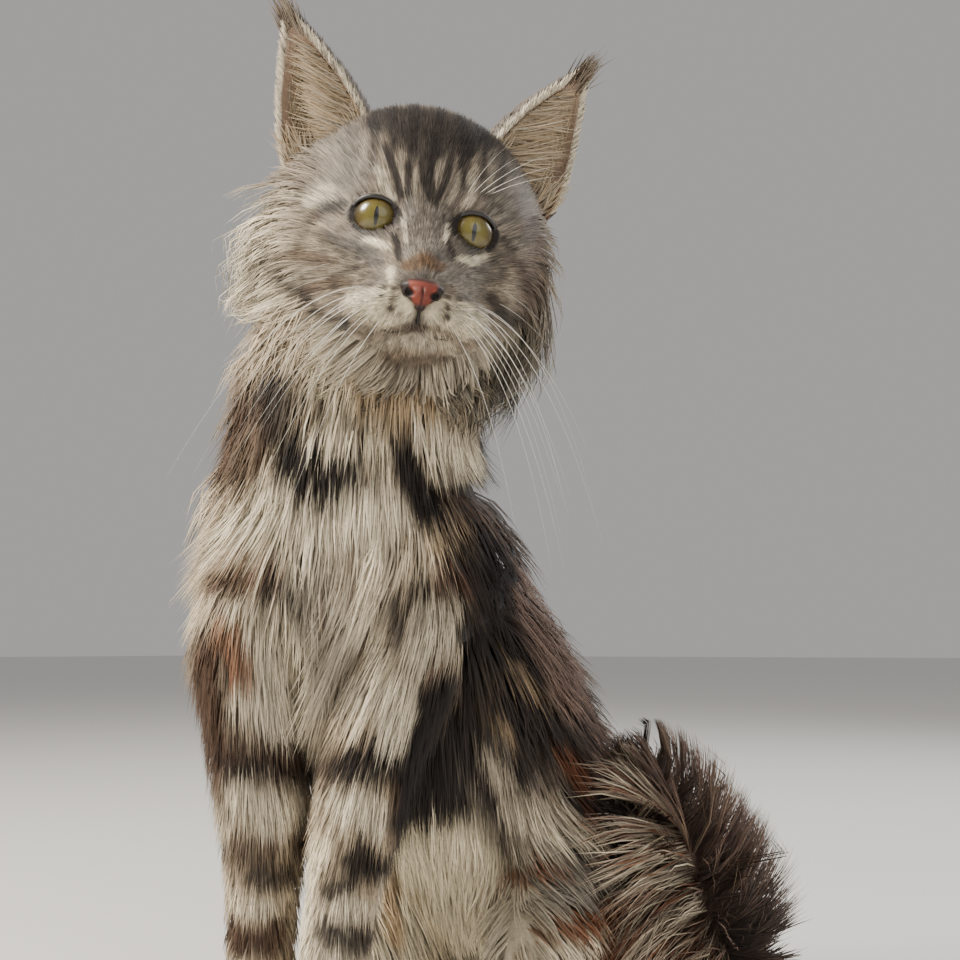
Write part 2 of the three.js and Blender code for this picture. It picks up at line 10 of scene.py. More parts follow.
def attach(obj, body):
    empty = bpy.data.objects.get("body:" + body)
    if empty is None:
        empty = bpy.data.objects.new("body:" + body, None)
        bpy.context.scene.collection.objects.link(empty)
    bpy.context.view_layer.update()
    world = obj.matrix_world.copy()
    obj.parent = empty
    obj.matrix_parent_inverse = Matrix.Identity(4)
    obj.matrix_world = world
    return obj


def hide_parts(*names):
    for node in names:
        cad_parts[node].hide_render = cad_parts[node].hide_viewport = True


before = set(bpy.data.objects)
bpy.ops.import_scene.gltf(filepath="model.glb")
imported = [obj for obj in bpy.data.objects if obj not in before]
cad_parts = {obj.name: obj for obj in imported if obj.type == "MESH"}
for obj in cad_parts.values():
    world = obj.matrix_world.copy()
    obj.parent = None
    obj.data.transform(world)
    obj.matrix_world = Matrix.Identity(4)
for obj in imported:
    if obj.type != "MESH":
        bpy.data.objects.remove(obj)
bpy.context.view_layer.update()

bl_info = {
    "name": "Maine Coon cat",
    "version": (1, 0, 0),
    "blender": (4, 5, 0),
    "location": "3D View > Sidebar > Cat",
    "description": "Skin, coat, eyes, whiskers and harness of a sitting long-haired tabby cat",
    "category": "Object",
}

MM = 0.001
LEFT, RIGHT = 1, -1
SIDES = (("left", LEFT), ("right", RIGHT))
BODY = "root"

# Pose of the head and sizes of the face, as the solids have them
HEAD_PLACE = (57, 10, 444)
HEAD_TURN, HEAD_NOD, HEAD_ROLL = 42, 15, 5.5
CHEST_TURN, HIP_TURN = 34, -8
EYE_SPREAD, EYE_RADIUS, EYE_DEPTH = 21.5, 11.6, 36
NOSE_TIP = np.array((0.0, -84.0, -30.0))
EAR_BASE, EAR_TIP = (45, 10, 34), (73, 12, 96)

# Pose of the legs and the harness
FORELEG_SPREAD, FORELEG_TURN = 19, 12
ELBOW_SPREAD, ELBOW_HEIGHT = 30, 200
PAW_LENGTH, PAW_WIDTH, PAW_HEIGHT = 66, 44, 30
HAUNCH_SPREAD, HINDFOOT_SPREAD = 48, 70
BACK_STRAP_ANGLE = 55
COLLAR_SPAN, GIRTH_SPAN = (0.925, 0.96), (0.66, 0.69)
STRAP_LIFT = 0.8
STRAP_THICK = 2.0
RING_RADIUS, RING_WIRE = 8, 1.3

# The photograph's camera in the drawing frame
CAMERA_PLACE = (327, -348, 245)
CAMERA_AZIMUTH, CAMERA_PITCH = 33, 10
PHOTO_SIDE = 960
FOCAL_PIXELS = 960
SENSOR = 36


def paint(red, green, blue):
    """A colour as seen, 0 to 255 a channel, as the linear colour that the shaders take."""
    seen = np.array((red, green, blue)) / 255.0
    return tuple(np.where(seen <= 0.04045, seen / 12.92, ((seen + 0.055) / 1.055) ** 2.4))


def unit(rows):
    """Rows of vectors, each made one long."""
    rows = np.asarray(rows, float)
    return rows / np.maximum(np.linalg.norm(rows, axis=-1, keepdims=True), 1e-9)


def dot(a, b):
    """How far rows reach along other rows, as a column."""
    return np.sum(a * b, axis=1, keepdims=True)


def ramp(low, high, value):
    """0 below low, 1 above high and smooth between them, either way round."""
    share = np.clip((np.asarray(value, float) - low) / (high - low), 0, 1)
    return share * share * (3 - 2 * share)


def bump(value, centre, half):
    """1 at the centre, falling smoothly to 0 at half a width away."""
    return 1 - ramp(0, half, np.abs(np.asarray(value, float) - centre))


def mix(a, b, share):
    """Blends two sets of rows by a share for each row."""
    share = np.asarray(share, float)[..., None]
    return np.asarray(a, float) * (1 - share) + np.asarray(b, float) * share


def noise(points, size, seed=0):
    """Smooth noise from -1 to 1 at points, with features about a size across."""
    spots = np.asarray(points, float) / size + 37.0 + seed * 11.3
    cell = np.floor(spots).astype(np.int64)
    part = spots - cell
    part = part * part * (3 - 2 * part)
    total = np.zeros(len(spots))
    for corner in np.ndindex(2, 2, 2):
        at = cell + np.array(corner)
        mixed = (at[:, 0] * 73856093) ^ (at[:, 1] * 19349663) ^ (at[:, 2] * 83492791)
        mixed = (mixed ^ (mixed >> 13)) * 1274126177 & 0x7FFFFFFF
        value = (mixed % 20011) / 10005.5 - 1
        weight = np.prod(np.where(np.array(corner), part, 1 - part), axis=1)
        total += value * weight
    return total


def turned(x=0.0, y=0.0, z=0.0):
    """A rotation matrix by degrees about X, then Y, then Z."""
    spin = Matrix.Rotation(math.radians(z), 3, "Z") @ Matrix.Rotation(math.radians(y), 3, "Y")
    return np.array(spin @ Matrix.Rotation(math.radians(x), 3, "X"))


HEAD_SPIN = turned(z=HEAD_TURN) @ turned(x=HEAD_NOD) @ turned(y=HEAD_ROLL)


def from_head(points):
    """Points of the head's own frame in the drawing frame."""
    return np.asarray(points, float) @ HEAD_SPIN.T + np.array(HEAD_PLACE, float)


def to_head(points):
    """Points of the drawing frame in the head's own frame."""
    return (np.asarray(points, float) - np.array(HEAD_PLACE, float)) @ HEAD_SPIN


def node_middle(name):
    """The middle of a CAD node's corners, in metres."""
    return np.mean([vertex.co[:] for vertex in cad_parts[name].data.vertices], axis=0)


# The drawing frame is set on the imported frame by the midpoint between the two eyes
EYES_DRAWN = from_head([(0, -EYE_DEPTH, 0)])[0]
EYES_PACKED = (node_middle("eye_left") + node_middle("eye_right")) / 2
OFFSET = EYES_PACKED - EYES_DRAWN * MM


def packed(points):
    """Points of the drawing frame, in millimetres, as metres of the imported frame."""
    return np.asarray(points, float) * MM + OFFSET


def smooth_through(rows, t):
    """Points at t, from 0 to 1, on a smooth curve through evenly spread rows."""
    rows = np.asarray(rows, float)
    ends = np.vstack([2 * rows[0] - rows[1], rows, 2 * rows[-1] - rows[-2]])
    at = np.clip(np.asarray(t, float), 0, 1) * (len(rows) - 1)
    i = np.minimum(at.astype(int), len(rows) - 2)
    f = (at - i)[:, None]
    a, b, c, d = ends[i], ends[i + 1], ends[i + 2], ends[i + 3]
    return 0.5 * (2 * b + (c - a) * f + (2 * a - 5 * b + 4 * c - d) * f**2 + (3 * b - a - 3 * c + d) * f**3)


def ring_faces(rows, sides, closed=False):
    """Faces between rings of corners that follow one another, also from last to first if closed."""
    faces = []
    for i in range(rows):
        for j in range(sides):
            k, up = (j + 1) % sides, (i + 1) % rows if closed else i + 1
            faces.append((i * sides + j, i * sides + k, up * sides + k, up * sides + j))
    return faces


def end_faces(rows, sides):
    """The two flat ends of rings of corners."""
    return [tuple(range(sides - 1, -1, -1)), tuple(rows * sides + k for k in range(sides))]


class Form:
    """A closed body form, with places by how far along and round it they are."""

    def grid(self, along, columns):
        """Every place of a grid on the form, in rows."""
        along, angle = np.meshgrid(along, np.arange(columns) * 360 / columns, indexing="ij")
        return along.ravel(), angle.ravel()

    def closed_mesh(self, points, poles, rings, sides):
        """Corners and faces of rings of corners closed with a pole at each end."""
        faces, first, last = ring_faces(rings, sides), len(points), rings * sides
        for j in range(sides):
            k = (j + 1) % sides
            faces += [(first, k, j), (first + 1, last + j, last + k)]
        return np.vstack([points, poles]), faces

    def spread_over(self, along, angle, grow, step):
        """Places with their directions, and their ways on the form's own tile."""
        def place(ahead, aside):
            return self.place(along + ahead, angle + aside, grow)

        point, forward = place(0, 0), unit(place(step, 0) - place(-step, 0))
        out = unit(np.cross(place(0, 2) - place(0, -2), forward))
        return {"point": point, "along": forward, "out": out, "angle": angle,
                "round": place(0, 1) - point, "ahead": (place(self.tile_step, 0) - point) * 100}


class Loft(Form):
    """A body form along a smooth axis. A station is x, y, z, width, back, front and turn."""

    tile_step = 0.01

    def __init__(self, stations, side=(1, 0, 0), facing=None, in_head=False):
        self.rows = np.array([list(s) + [0] * (7 - len(s)) for s in stations], float)
        self.side = np.array(side, float)
        self.facing = None if facing is None else unit(facing)
        self.in_head = in_head

    def place(self, t, angle, grow=0.0):
        """Points on the form at t along it and an angle in degrees round it."""
        t, angle = np.broadcast_arrays(np.asarray(t, float).ravel(), np.radians(np.ravel(angle)))
        step = 1e-3
        along = smooth_through(self.rows[:, :3], t + step) - smooth_through(self.rows[:, :3], t - step)
        along = unit(along) if self.facing is None else np.broadcast_to(self.facing, along.shape)
        turn = np.radians(smooth_through(self.rows[:, 6:], t)[:, 0])
        x, y, z = self.side
        side = np.stack(
            [x * np.cos(turn) - y * np.sin(turn), x * np.sin(turn) + y * np.cos(turn), z + 0 * turn], 1
        )
        across = unit(side - along * dot(side, along))
        deep = np.cross(along, across)
        sizes = np.maximum(smooth_through(self.rows[:, 3:6], t) + grow, 1.0)
        c, s = np.cos(angle), np.sin(angle)
        depth = np.where(s > 0, sizes[:, 1], sizes[:, 2])
        points = smooth_through(self.rows[:, :3], t)
        points = points + across * (c * sizes[:, 0])[:, None] + deep * (s * depth)[:, None]
        return from_head(points) if self.in_head else points

    def mesh(self, grow=0.0, rings=28, sides=32):
        """Corners and faces of the closed form, grown or shrunk all round."""
        points = self.place(*self.grid(np.linspace(0, 1, rings + 1), sides), grow)
        poles = []
        for end, first, second in ((0, 0, 1), (1, rings, rings - 1)):
            middle, near = (points[k * sides:(k + 1) * sides].mean(0) for k in (first, second))
            reach = max(smooth_through(self.rows[:, 3:4], [end])[0, 0] / 3 + grow, 0.5)
            poles.append(middle + unit(middle - near) * reach)
        return self.closed_mesh(points, poles, rings, sides)

    def samples(self, grow):
        """Places spread over the form, as its coat needs them."""
        t, angle = self.grid(np.linspace(0.01, 0.99, 26), 28)
        return {**self.spread_over(t, angle, grow, 0.02), "t": t}


class Egg(Form):
    """An egg-shaped form with its three radii, turned about its own axes."""

    tile_step = 1.8

    def __init__(self, centre, radii, turn=(0, 0, 0), in_head=False):
        self.centre, self.radii = np.array(centre, float), np.array(radii, float)
        self.spin = turned(*turn)
        self.in_head = in_head

    def place(self, rise, around, grow=0.0):
        """Points at a rise and an angle round the form's upright axis, in degrees."""
        rise, around = np.broadcast_arrays(np.radians(np.ravel(rise)), np.radians(np.ravel(around)))
        ball = np.stack([np.cos(rise) * np.cos(around), np.cos(rise) * np.sin(around), np.sin(rise)], 1)
        points = (ball * np.maximum(self.radii + grow, 1.0)) @ self.spin.T + self.centre
        return from_head(points) if self.in_head else points

    def mesh(self, grow=0.0, rings=16, sides=24):
        """Corners and faces of the closed form, grown or shrunk all round."""
        points = self.place(*self.grid(np.linspace(-90, 90, rings + 1)[1:-1], sides), grow)
        return self.closed_mesh(points, self.place([-90, 90], [0, 0], grow), rings - 2, sides)

    def samples(self, grow):
        """Places spread over the form, as its coat needs them."""
        rise, angle = self.grid(np.linspace(-80, 80, 14), 22)
        return {**self.spread_over(rise, angle, grow, 2), "t": (rise + 90) / 180}


# Forms of the body, with the stations of the solids
TORSO = Loft([
    (0, 236, 10, 28, 32, 25, HIP_TURN),
    (0, 232, 62, 50, 53, 48, HIP_TURN),
    (0, 206, 122, 59, 71, 64, HIP_TURN / 2),
    (0, 160, 180, 60, 76, 70, CHEST_TURN * 0.25),
    (-4, 112, 232, 66, 74, 70, CHEST_TURN * 0.55),
    (-9, 70, 284, 72, 61, 64, CHEST_TURN * 0.85),
    (-10, 46, 328, 70, 47, 54, CHEST_TURN),
    (-6, 42, 366, 50, 36, 38, CHEST_TURN),
])
NECK = Loft([
    (-6, 42, 344, 58, 46, 52, CHEST_TURN),
    (2, 38, 384, 58, 44, 48, CHEST_TURN),
    (18, 34, 414, 50, 42, 42, CHEST_TURN),
    (30, 28, 438, 36, 34, 30, CHEST_TURN),
], facing=(0.26, -0.1, 0.96))
SKULL = Loft([
    (0, 62, 6, 20, 16, 18),
    (0, 48, 6, 48, 34, 38),
    (0, 26, 4, 60, 56, 52),
    (0, 0, 2, 63, 64, 62),
    (0, -20, -2, 57, 58, 64),
    (0, -36, -8, 46, 42, 58),
    (0, -48, -18, 32, 28, 46),
    (0, -62, -30, 24, 18, 30),
    (0, -74, -35, 17, 12, 22),
], facing=(0, -1, 0), in_head=True)
MUZZLE = [
    Egg((16, -61, -43), (18, 18, 14), (0, 0, -16), in_head=True),
    Egg((-16, -61, -43), (18, 18, 14), (0, 0, 16), in_head=True),
]
CHIN = Egg((0, -58, -52), (16, 17, 11), in_head=True)
BRIDGE = Egg((0, -57, -17), (11, 21, 9), (38, 0, 0), in_head=True)
THIGHS = [Egg((s * HAUNCH_SPREAD, 182, 108), (34, 76, 72), (-14, 0, 0)) for _, s in SIDES]
KNEES = [Egg((s * 58, 126, 92), (26, 36, 40)) for _, s in SIDES]
HINDFEET = [Loft([
    (s * (HINDFOOT_SPREAD - 6), 232, 17, 14, 15, 17),
    (s * (HINDFOOT_SPREAD - 3), 190, 14, 17, 15, 16),
    (s * HINDFOOT_SPREAD, 140, 13, 18, 14, 15),
    (s * (HINDFOOT_SPREAD + 1), 104, 13, 19, 14, 15),
]) for _, s in SIDES]
TAIL = Loft([
    (0, 276, 34, 18, 18, 18),
    (28, 302, 22, 20, 22, 22),
    (62, 312, 22, 21, 22, 22),
    (92, 300, 32, 22, 22, 22),
    (99, 264, 66, 22, 22, 22),
    (95, 237, 104, 22, 22, 22),
    (94, 226, 131, 21, 21, 21),
    (87, 219, 153, 17, 17, 17),
    (80, 214, 170, 11, 11, 11),
    (75, 211, 182, 4, 4, 4),
], side=(0.6, 0.8, 0))


def across_chest(side, spread, turn, y):
    """X and Y of a place beside the chest's middle, on an axis that turns with it."""
    angle = math.radians(turn)
    return side * spread * math.cos(angle), y + side * spread * math.sin(angle)


def foreleg(side):
    """A foreleg, straight down from the shoulder."""
    levels = (
        (ELBOW_SPREAD + 5, CHEST_TURN, 34, 306, 16, 24, 20),
        (ELBOW_SPREAD + 10, CHEST_TURN, 22, 258, 27, 39, 32),
        (ELBOW_SPREAD, 28, 12, ELBOW_HEIGHT + 8, 22, 31, 26),
        (ELBOW_SPREAD - 7, 22, 7, ELBOW_HEIGHT - 34, 18.5, 24, 21),
        (FORELEG_SPREAD + 1, 16, 3, 128, 16, 20, 18),
        (FORELEG_SPREAD, FORELEG_TURN, 1, 80, 15.5, 18, 16.5),
        (FORELEG_SPREAD + 1, FORELEG_TURN, -2, 24, 16, 18, 17),
    )
    return Loft([
        (*across_chest(side, spread, turn, y), z, *sizes, turn) for spread, turn, y, z, *sizes in levels
    ])


def paw(x, y, turn):
    """A paw with four toes, and the place and turn that it has."""
    spin = turned(z=turn)
    place = np.array((x, y, 0.0))
    heel = Egg(
        spin @ (0, 0, PAW_HEIGHT * 0.42) + place,
        (PAW_WIDTH / 2, PAW_LENGTH / 2.3, PAW_HEIGHT * 0.56),
        (0, 0, turn),
    )
    toes = []
    for k in (-0.72, -0.26, 0.26, 0.72):
        reach = PAW_LENGTH * (0.44 - 0.1 * abs(k))
        toe = spin @ (k * PAW_WIDTH * 0.47, -reach, PAW_HEIGHT * 0.36) + place
        toes.append(Egg(toe, (PAW_WIDTH * 0.15, PAW_LENGTH * 0.17, PAW_HEIGHT * 0.42), (0, 0, turn + k * 14)))
    return [heel, *toes]


FORELEGS = [foreleg(side) for _, side in SIDES]
PAWS = [paw(*across_chest(s, FORELEG_SPREAD + 3, FORELEG_TURN, -14), 14 + 6 * s) for _, s in SIDES]
PAWS += [paw(s * (HINDFOOT_SPREAD + 2), 92, 8 * s) for _, s in SIDES]

# Spots of the head that more than one piece uses
EYE_SPOTS = {side: np.array((side * EYE_SPREAD, -EYE_DEPTH, 0.0)) for _, side in SIDES}
LID_CURVE = (11.4, 10.7, 9.6, 8.8, 9.2, 10.2, 11.2, 12.4, 10.0, 8.8, 8.5, 9.0, 10.4)
LID_ANGLES = (0, 30, 60, 90, 120, 150, 180, 203, 222, 248, 270, 300, 330)
MOUTH = ((-22, -46), (-15, -50.5), (-7, -50.5), (0, -46.5), (7, -50.5), (15, -50.5), (22, -46))


def lid_reach(degrees):
    """How far the opening between the lids reaches from its middle; 0 is the outer corner."""
    angles = np.array(LID_ANGLES + (360,), float)
    reach = np.array(LID_CURVE + (LID_CURVE[0],), float)
    return np.interp(np.mod(degrees, 360), angles, reach)


def lid_level(head_points, side):
    """Below 1 inside the opening between the lids, above 1 outside it."""
    spot = EYE_SPOTS[side]
    over = (head_points[:, 0] - spot[0]) * side - 0.8
    up = head_points[:, 2] - spot[2]
    return np.hypot(over, up) / lid_reach(np.degrees(np.arctan2(up, over)))


DOWN = np.array((0.0, 0.0, -1.0))


def towards(s, degrees, spread):
    """How far places lie towards an angle round their form: 1 there, 0 at the spread away."""
    gap = np.abs((s["angle"] - degrees + 180) % 360 - 180)
    return ramp(spread, 0, gap)


def by_strap(points):
    """How near places are to the stretches of the harness that lie open."""
    open_ways = [TORSO.place(np.full(9, sum(COLLAR_SPAN) / 2), np.linspace(-40, 30, 9), 4.0),
                 TORSO.place(np.full(9, sum(GIRTH_SPAN) / 2), np.linspace(-40, 40, 9), 4.0),
                 TORSO.place(np.linspace(GIRTH_SPAN[1], COLLAR_SPAN[0], 9), np.full(9, BACK_STRAP_ANGLE), 4.0)]
    far = np.min([np.linalg.norm(points - place, axis=1) for way in open_ways for place in way], axis=0)
    return ramp(24, 12, far)


def torso_lie(s):
    """Back and flanks lie down towards the tail, the chest hangs."""
    chest = towards(s, 270, 95)
    high = ramp(0.5, 0.8, s["t"])
    flow = mix(-s["along"] + DOWN * 0.3, DOWN + s["out"] * 0.12, chest)
    length = (54 + chest * (2 + 24 * high)) * (1 - 0.6 * by_strap(s["point"]))
    return flow, length, 36 - 4 * chest, 34 + 2 * chest * high


def neck_lie(s):
    """The ruff falls over the shoulders and the chest."""
    front = towards(s, 270, 120)
    length = (46 + 18 * front) * (1 - 0.6 * by_strap(s["point"]))
    return -s["along"] + DOWN * 0.7 + s["out"] * 0.2, length, 34 + 4 * front, 24 + 8 * front


def head_lie(s):
    """Short hair runs from the nose over the face, and lengthens into the ruff."""
    p = to_head(s["point"])
    side = np.where(p[:, 0] >= 0, 1.0, -1.0)
    wind = ramp(10, -30, p[:, 0])
    back = ramp(-34, 6, p[:, 1])
    low = ramp(30 + 14 * wind, -10 + 14 * wind, p[:, 2])
    under = ramp(-40, -60, p[:, 2]) * ramp(-62, -36, p[:, 1])
    ruff = np.clip(back * low * ramp(14, 48, np.abs(p[:, 0])) + 0.8 * under, 0, 1)
    radial = unit(p - NOSE_TIP)
    sweep = np.stack([side * (0.42 + 0.43 * wind), -0.15 + 0.45 * wind, -1 + 0.45 * wind], 1)
    flow = mix(radial, sweep, np.clip(ruff * 0.9, 0, 1)) @ HEAD_SPIN.T
    length = 4.5 + 6 * ramp(-62, -20, p[:, 1]) + 7 * ramp(-10, 30, p[:, 1]) + (68 - 12 * wind) * ruff
    return flow, length, 13 + (30 + 24 * wind) * ruff, 3 + 3 * back + (40 + 10 * wind) * ruff


def foreleg_lie(s):
    """Short down the front of the leg, feathered behind the elbow."""
    rear = towards(s, 270, 100)
    high = ramp(0.66, 0.3, s["t"])
    flow = s["along"] + rear[:, None] * np.array((0, 0.4, 0)) * high[:, None]
    length = 15 + 16 * high + rear * (9 + 22 * high)
    return flow, length, 16 + 10 * rear, 9 + 7 * high + 10 * rear * high


def haunch_lie(side):
    """Down and back over the thigh, longest at the rear and the lower edge."""
    def lie(s):
        rear = ramp(150, 220, s["point"][:, 1])
        low = ramp(105, 60, s["point"][:, 2])
        return (side * 0.2, 0.5, -0.8), 40 + 16 * rear + 14 * low, 22, 17 + 9 * rear
    return lie


def foot_lie(turn, length):
    """Short hair lying forward over a foot."""
    return lambda s: (turned(z=turn) @ (0, -1.0, -0.25), length, 13, 3)


def hind_foot_lie(turn):
    """Short over the instep, longer and shaggy towards the hock."""
    def lie(s):
        rear = ramp(95, 180, s["point"][:, 1])
        flow = mix(turned(z=turn) @ (0, -1.0, -0.5), (0, 0.3, -1.0), rear)
        return flow, 11 + 15 * rear, 15 + 12 * rear, 4 + 8 * rear
    return lie


PARTING = 240


def tail_lie(s):
    """Hair parted along the side that faces forward and standing out round the rest."""
    gap = (s["angle"] - PARTING + 180) % 360 - 180
    parted = ramp(0.35, 0.5, s["t"]) * ramp(120, 60, np.abs(gap))
    over_haunch = ramp(0.3, 0.45, s["t"]) * ramp(85, 60, np.abs(gap + 10))
    end = ramp(0.72, 1.0, s["t"])
    aside = unit(s["round"]) * (np.sign(gap) * parted)[:, None]
    aside = mix(aside, (-0.85, -0.6, -0.2), over_haunch)
    low = ramp(0.5, 0.35, s["t"])
    length = 38 + 24 * low + 6 * ramp(0.2, 0.5, s["t"]) + 60 * over_haunch * (1 - end) - 10 * end
    lift = 52 + 10 * low - 22 * np.maximum(parted, over_haunch)
    flow = s["along"] * (0.8 - 0.5 * parted + 0.5 * end)[:, None] + aside
    return flow, length, lift, 200 - 80 * over_haunch


LONG, SHORT = -8.0, -2.6


def forms_of_body():
    """The body's forms with how deep their skin lies, their coat's piece and its rule."""
    forms = [(TORSO, LONG, "back", torso_lie), (NECK, LONG, "neck", neck_lie)]
    for i, (_, side) in enumerate(SIDES):
        forms.append((FORELEGS[i], -3.6, "forelegs", foreleg_lie))
        forms.append((THIGHS[i], LONG, "haunches", haunch_lie(side)))
        forms.append((KNEES[i], LONG, "haunches", haunch_lie(side)))
        forms.append((HINDFEET[i], SHORT, "feet", hind_foot_lie(8 * side)))
    turns = [14 + 6 * LEFT, 14 + 6 * RIGHT, 8 * LEFT, 8 * RIGHT]
    for forms_of_paw, turn in zip(PAWS, turns):
        forms += [(form, SHORT + 0.6, "feet", foot_lie(turn, 6.5)) for form in forms_of_paw]
    forms.append((TAIL, LONG, "tail", tail_lie))
    return forms


def forms_of_head():
    """Every form of the head, as for the body."""
    forms = [(SKULL, SHORT, "face", head_lie), (CHIN, SHORT + 1, "face", head_lie)]
    forms += [(form, SHORT + 1.2, "face", head_lie) for form in MUZZLE]
    forms.append((BRIDGE, SHORT + 1, "face", head_lie))
    return forms


SIZES = ("length", "lift", "loft")


def sources_of(forms):
    """Samples of every form with what its coat needs and its own tile."""
    rows = {}
    for tile, (form, grow, piece, rule) in enumerate(forms):
        s = form.samples(grow)
        flow, *sizes = rule(s)
        s["flow"] = unit(np.broadcast_to(flow, s["out"].shape))
        for key, size in zip(SIZES, sizes):
            s[key] = np.zeros(len(s["t"])) + size
        s["tile"] = np.full(len(s["t"]), tile)
        s["piece"] = np.full(len(s["t"]), piece)
        for key, value in s.items():
            rows.setdefault(key, []).append(value)
    return {key: np.concatenate(value) for key, value in rows.items()}


def placed(name, data):
    """A new object of the scene."""
    piece = bpy.data.objects.new(name, data)
    bpy.context.scene.collection.objects.link(piece)
    return piece


def mesh_object(name, points, faces):
    """A new object from corners in metres and faces."""
    mesh = bpy.data.meshes.new(name)
    mesh.from_pydata(np.asarray(points, float).tolist(), [], [tuple(map(int, face)) for face in faces])
    mesh.update()
    return placed(name, mesh)


def joined(meshes):
    """One list of corners and one of faces from many."""
    points, faces, first = [], [], 0
    for some_points, some_faces in meshes:
        points.append(np.asarray(some_points, float))
        faces += [tuple(first + k for k in face) for face in some_faces]
        first += len(some_points)
    return np.vstack(points), faces


def welded(meshes, voxel, rounds):
    """Corners in millimetres and faces of one closed surface round many closed forms."""
    points, faces = joined(meshes)
    draft = mesh_object("draft", points * MM, faces)
    remesh = draft.modifiers.new("Remesh", "REMESH")
    remesh.mode = "VOXEL"
    remesh.voxel_size = voxel * MM
    soften = draft.modifiers.new("Soften", "SMOOTH")
    soften.factor, soften.iterations = 0.5, rounds
    ready = draft.evaluated_get(bpy.context.evaluated_depsgraph_get())
    mesh = bpy.data.meshes.new_from_object(ready)
    found = np.empty(len(mesh.vertices) * 3)
    mesh.vertices.foreach_get("co", found)
    around = [tuple(polygon.vertices) for polygon in mesh.polygons]
    drafted = draft.data
    bpy.data.objects.remove(draft)
    bpy.data.meshes.remove(drafted)
    bpy.data.meshes.remove(mesh)
    return found.reshape(-1, 3) / MM, around


def carry_colours(mesh, colours):
    """Stores a colour at every corner of a mesh."""
    layer = mesh.color_attributes.new("coat", "FLOAT_COLOR", "POINT")
    shades = np.concatenate([colours, np.ones((len(mesh.vertices), 1))], 1)
    layer.data.foreach_set("color", shades.ravel())


def triangles_of(faces):
    """Faces of three or four corners as rows of three."""
    rows = []
    for face in faces:
        rows += [(face[0], face[k], face[k + 1]) for k in range(1, len(face) - 1)]
    return np.array(rows)


def normals_of(points, triangles):
    """Outward directions at the corners of a mesh of triangles."""
    a, b, c = (points[triangles[:, k]] for k in range(3))
    across = np.cross(b - a, c - a)
    total = np.zeros_like(points)
    for k in range(3):
        np.add.at(total, triangles[:, k], across)
    return unit(total)


def sculpt_head(points):
    """Opens the lids, hugs the eyes and sinks the mouth line, in the head's own frame."""
    points = points.copy()
    for _, side in SIDES:
        spot = EYE_SPOTS[side]
        away = points - spot
        far = np.linalg.norm(away, axis=1)
        level = lid_level(points, side)
        front = (away[:, 1] < 3) & (far < EYE_RADIUS + 9)
        open_part = front & (level < 1)
        rim = front & (level >= 1) & (far < EYE_RADIUS + 1.9)
        points[open_part] = spot + unit(away[open_part]) * (EYE_RADIUS - 2.6)
        points[rim] = spot + unit(away[rim]) * (EYE_RADIUS + 1.5)
        brow = front & (level >= 1) & (level < 2.2)
        hug = bump(level[brow], 1.0, 1.2)[:, None] * 0.55
        target = spot + unit(away[brow]) * (EYE_RADIUS + 1.5)
        outside = far[brow] > EYE_RADIUS + 1.9
        points[brow] = np.where(outside[:, None], points[brow] * (1 - hug) + target * hug, points[brow])
    line = np.array(MOUTH, float)
    across = np.clip(points[:, 0], line[0, 0], line[-1, 0])
    height = np.interp(across, line[:, 0], line[:, 1])
    near = bump(points[:, 2] - height, 0, 2.6) * (points[:, 1] < -48) * (np.abs(points[:, 0]) < 25)
    split = bump(points[:, 0], 0, 2.0) * (points[:, 1] < -70) * (points[:, 2] < -36) * (points[:, 2] > -47)
    points[:, 1] += 1.8 * np.maximum(near, split)
    return points


def finder(places):
    """A search tree of places."""
    tree = kdtree.KDTree(len(places))
    for i, place in enumerate(places):
        tree.insert(place, i)
    tree.balance()
    return tree


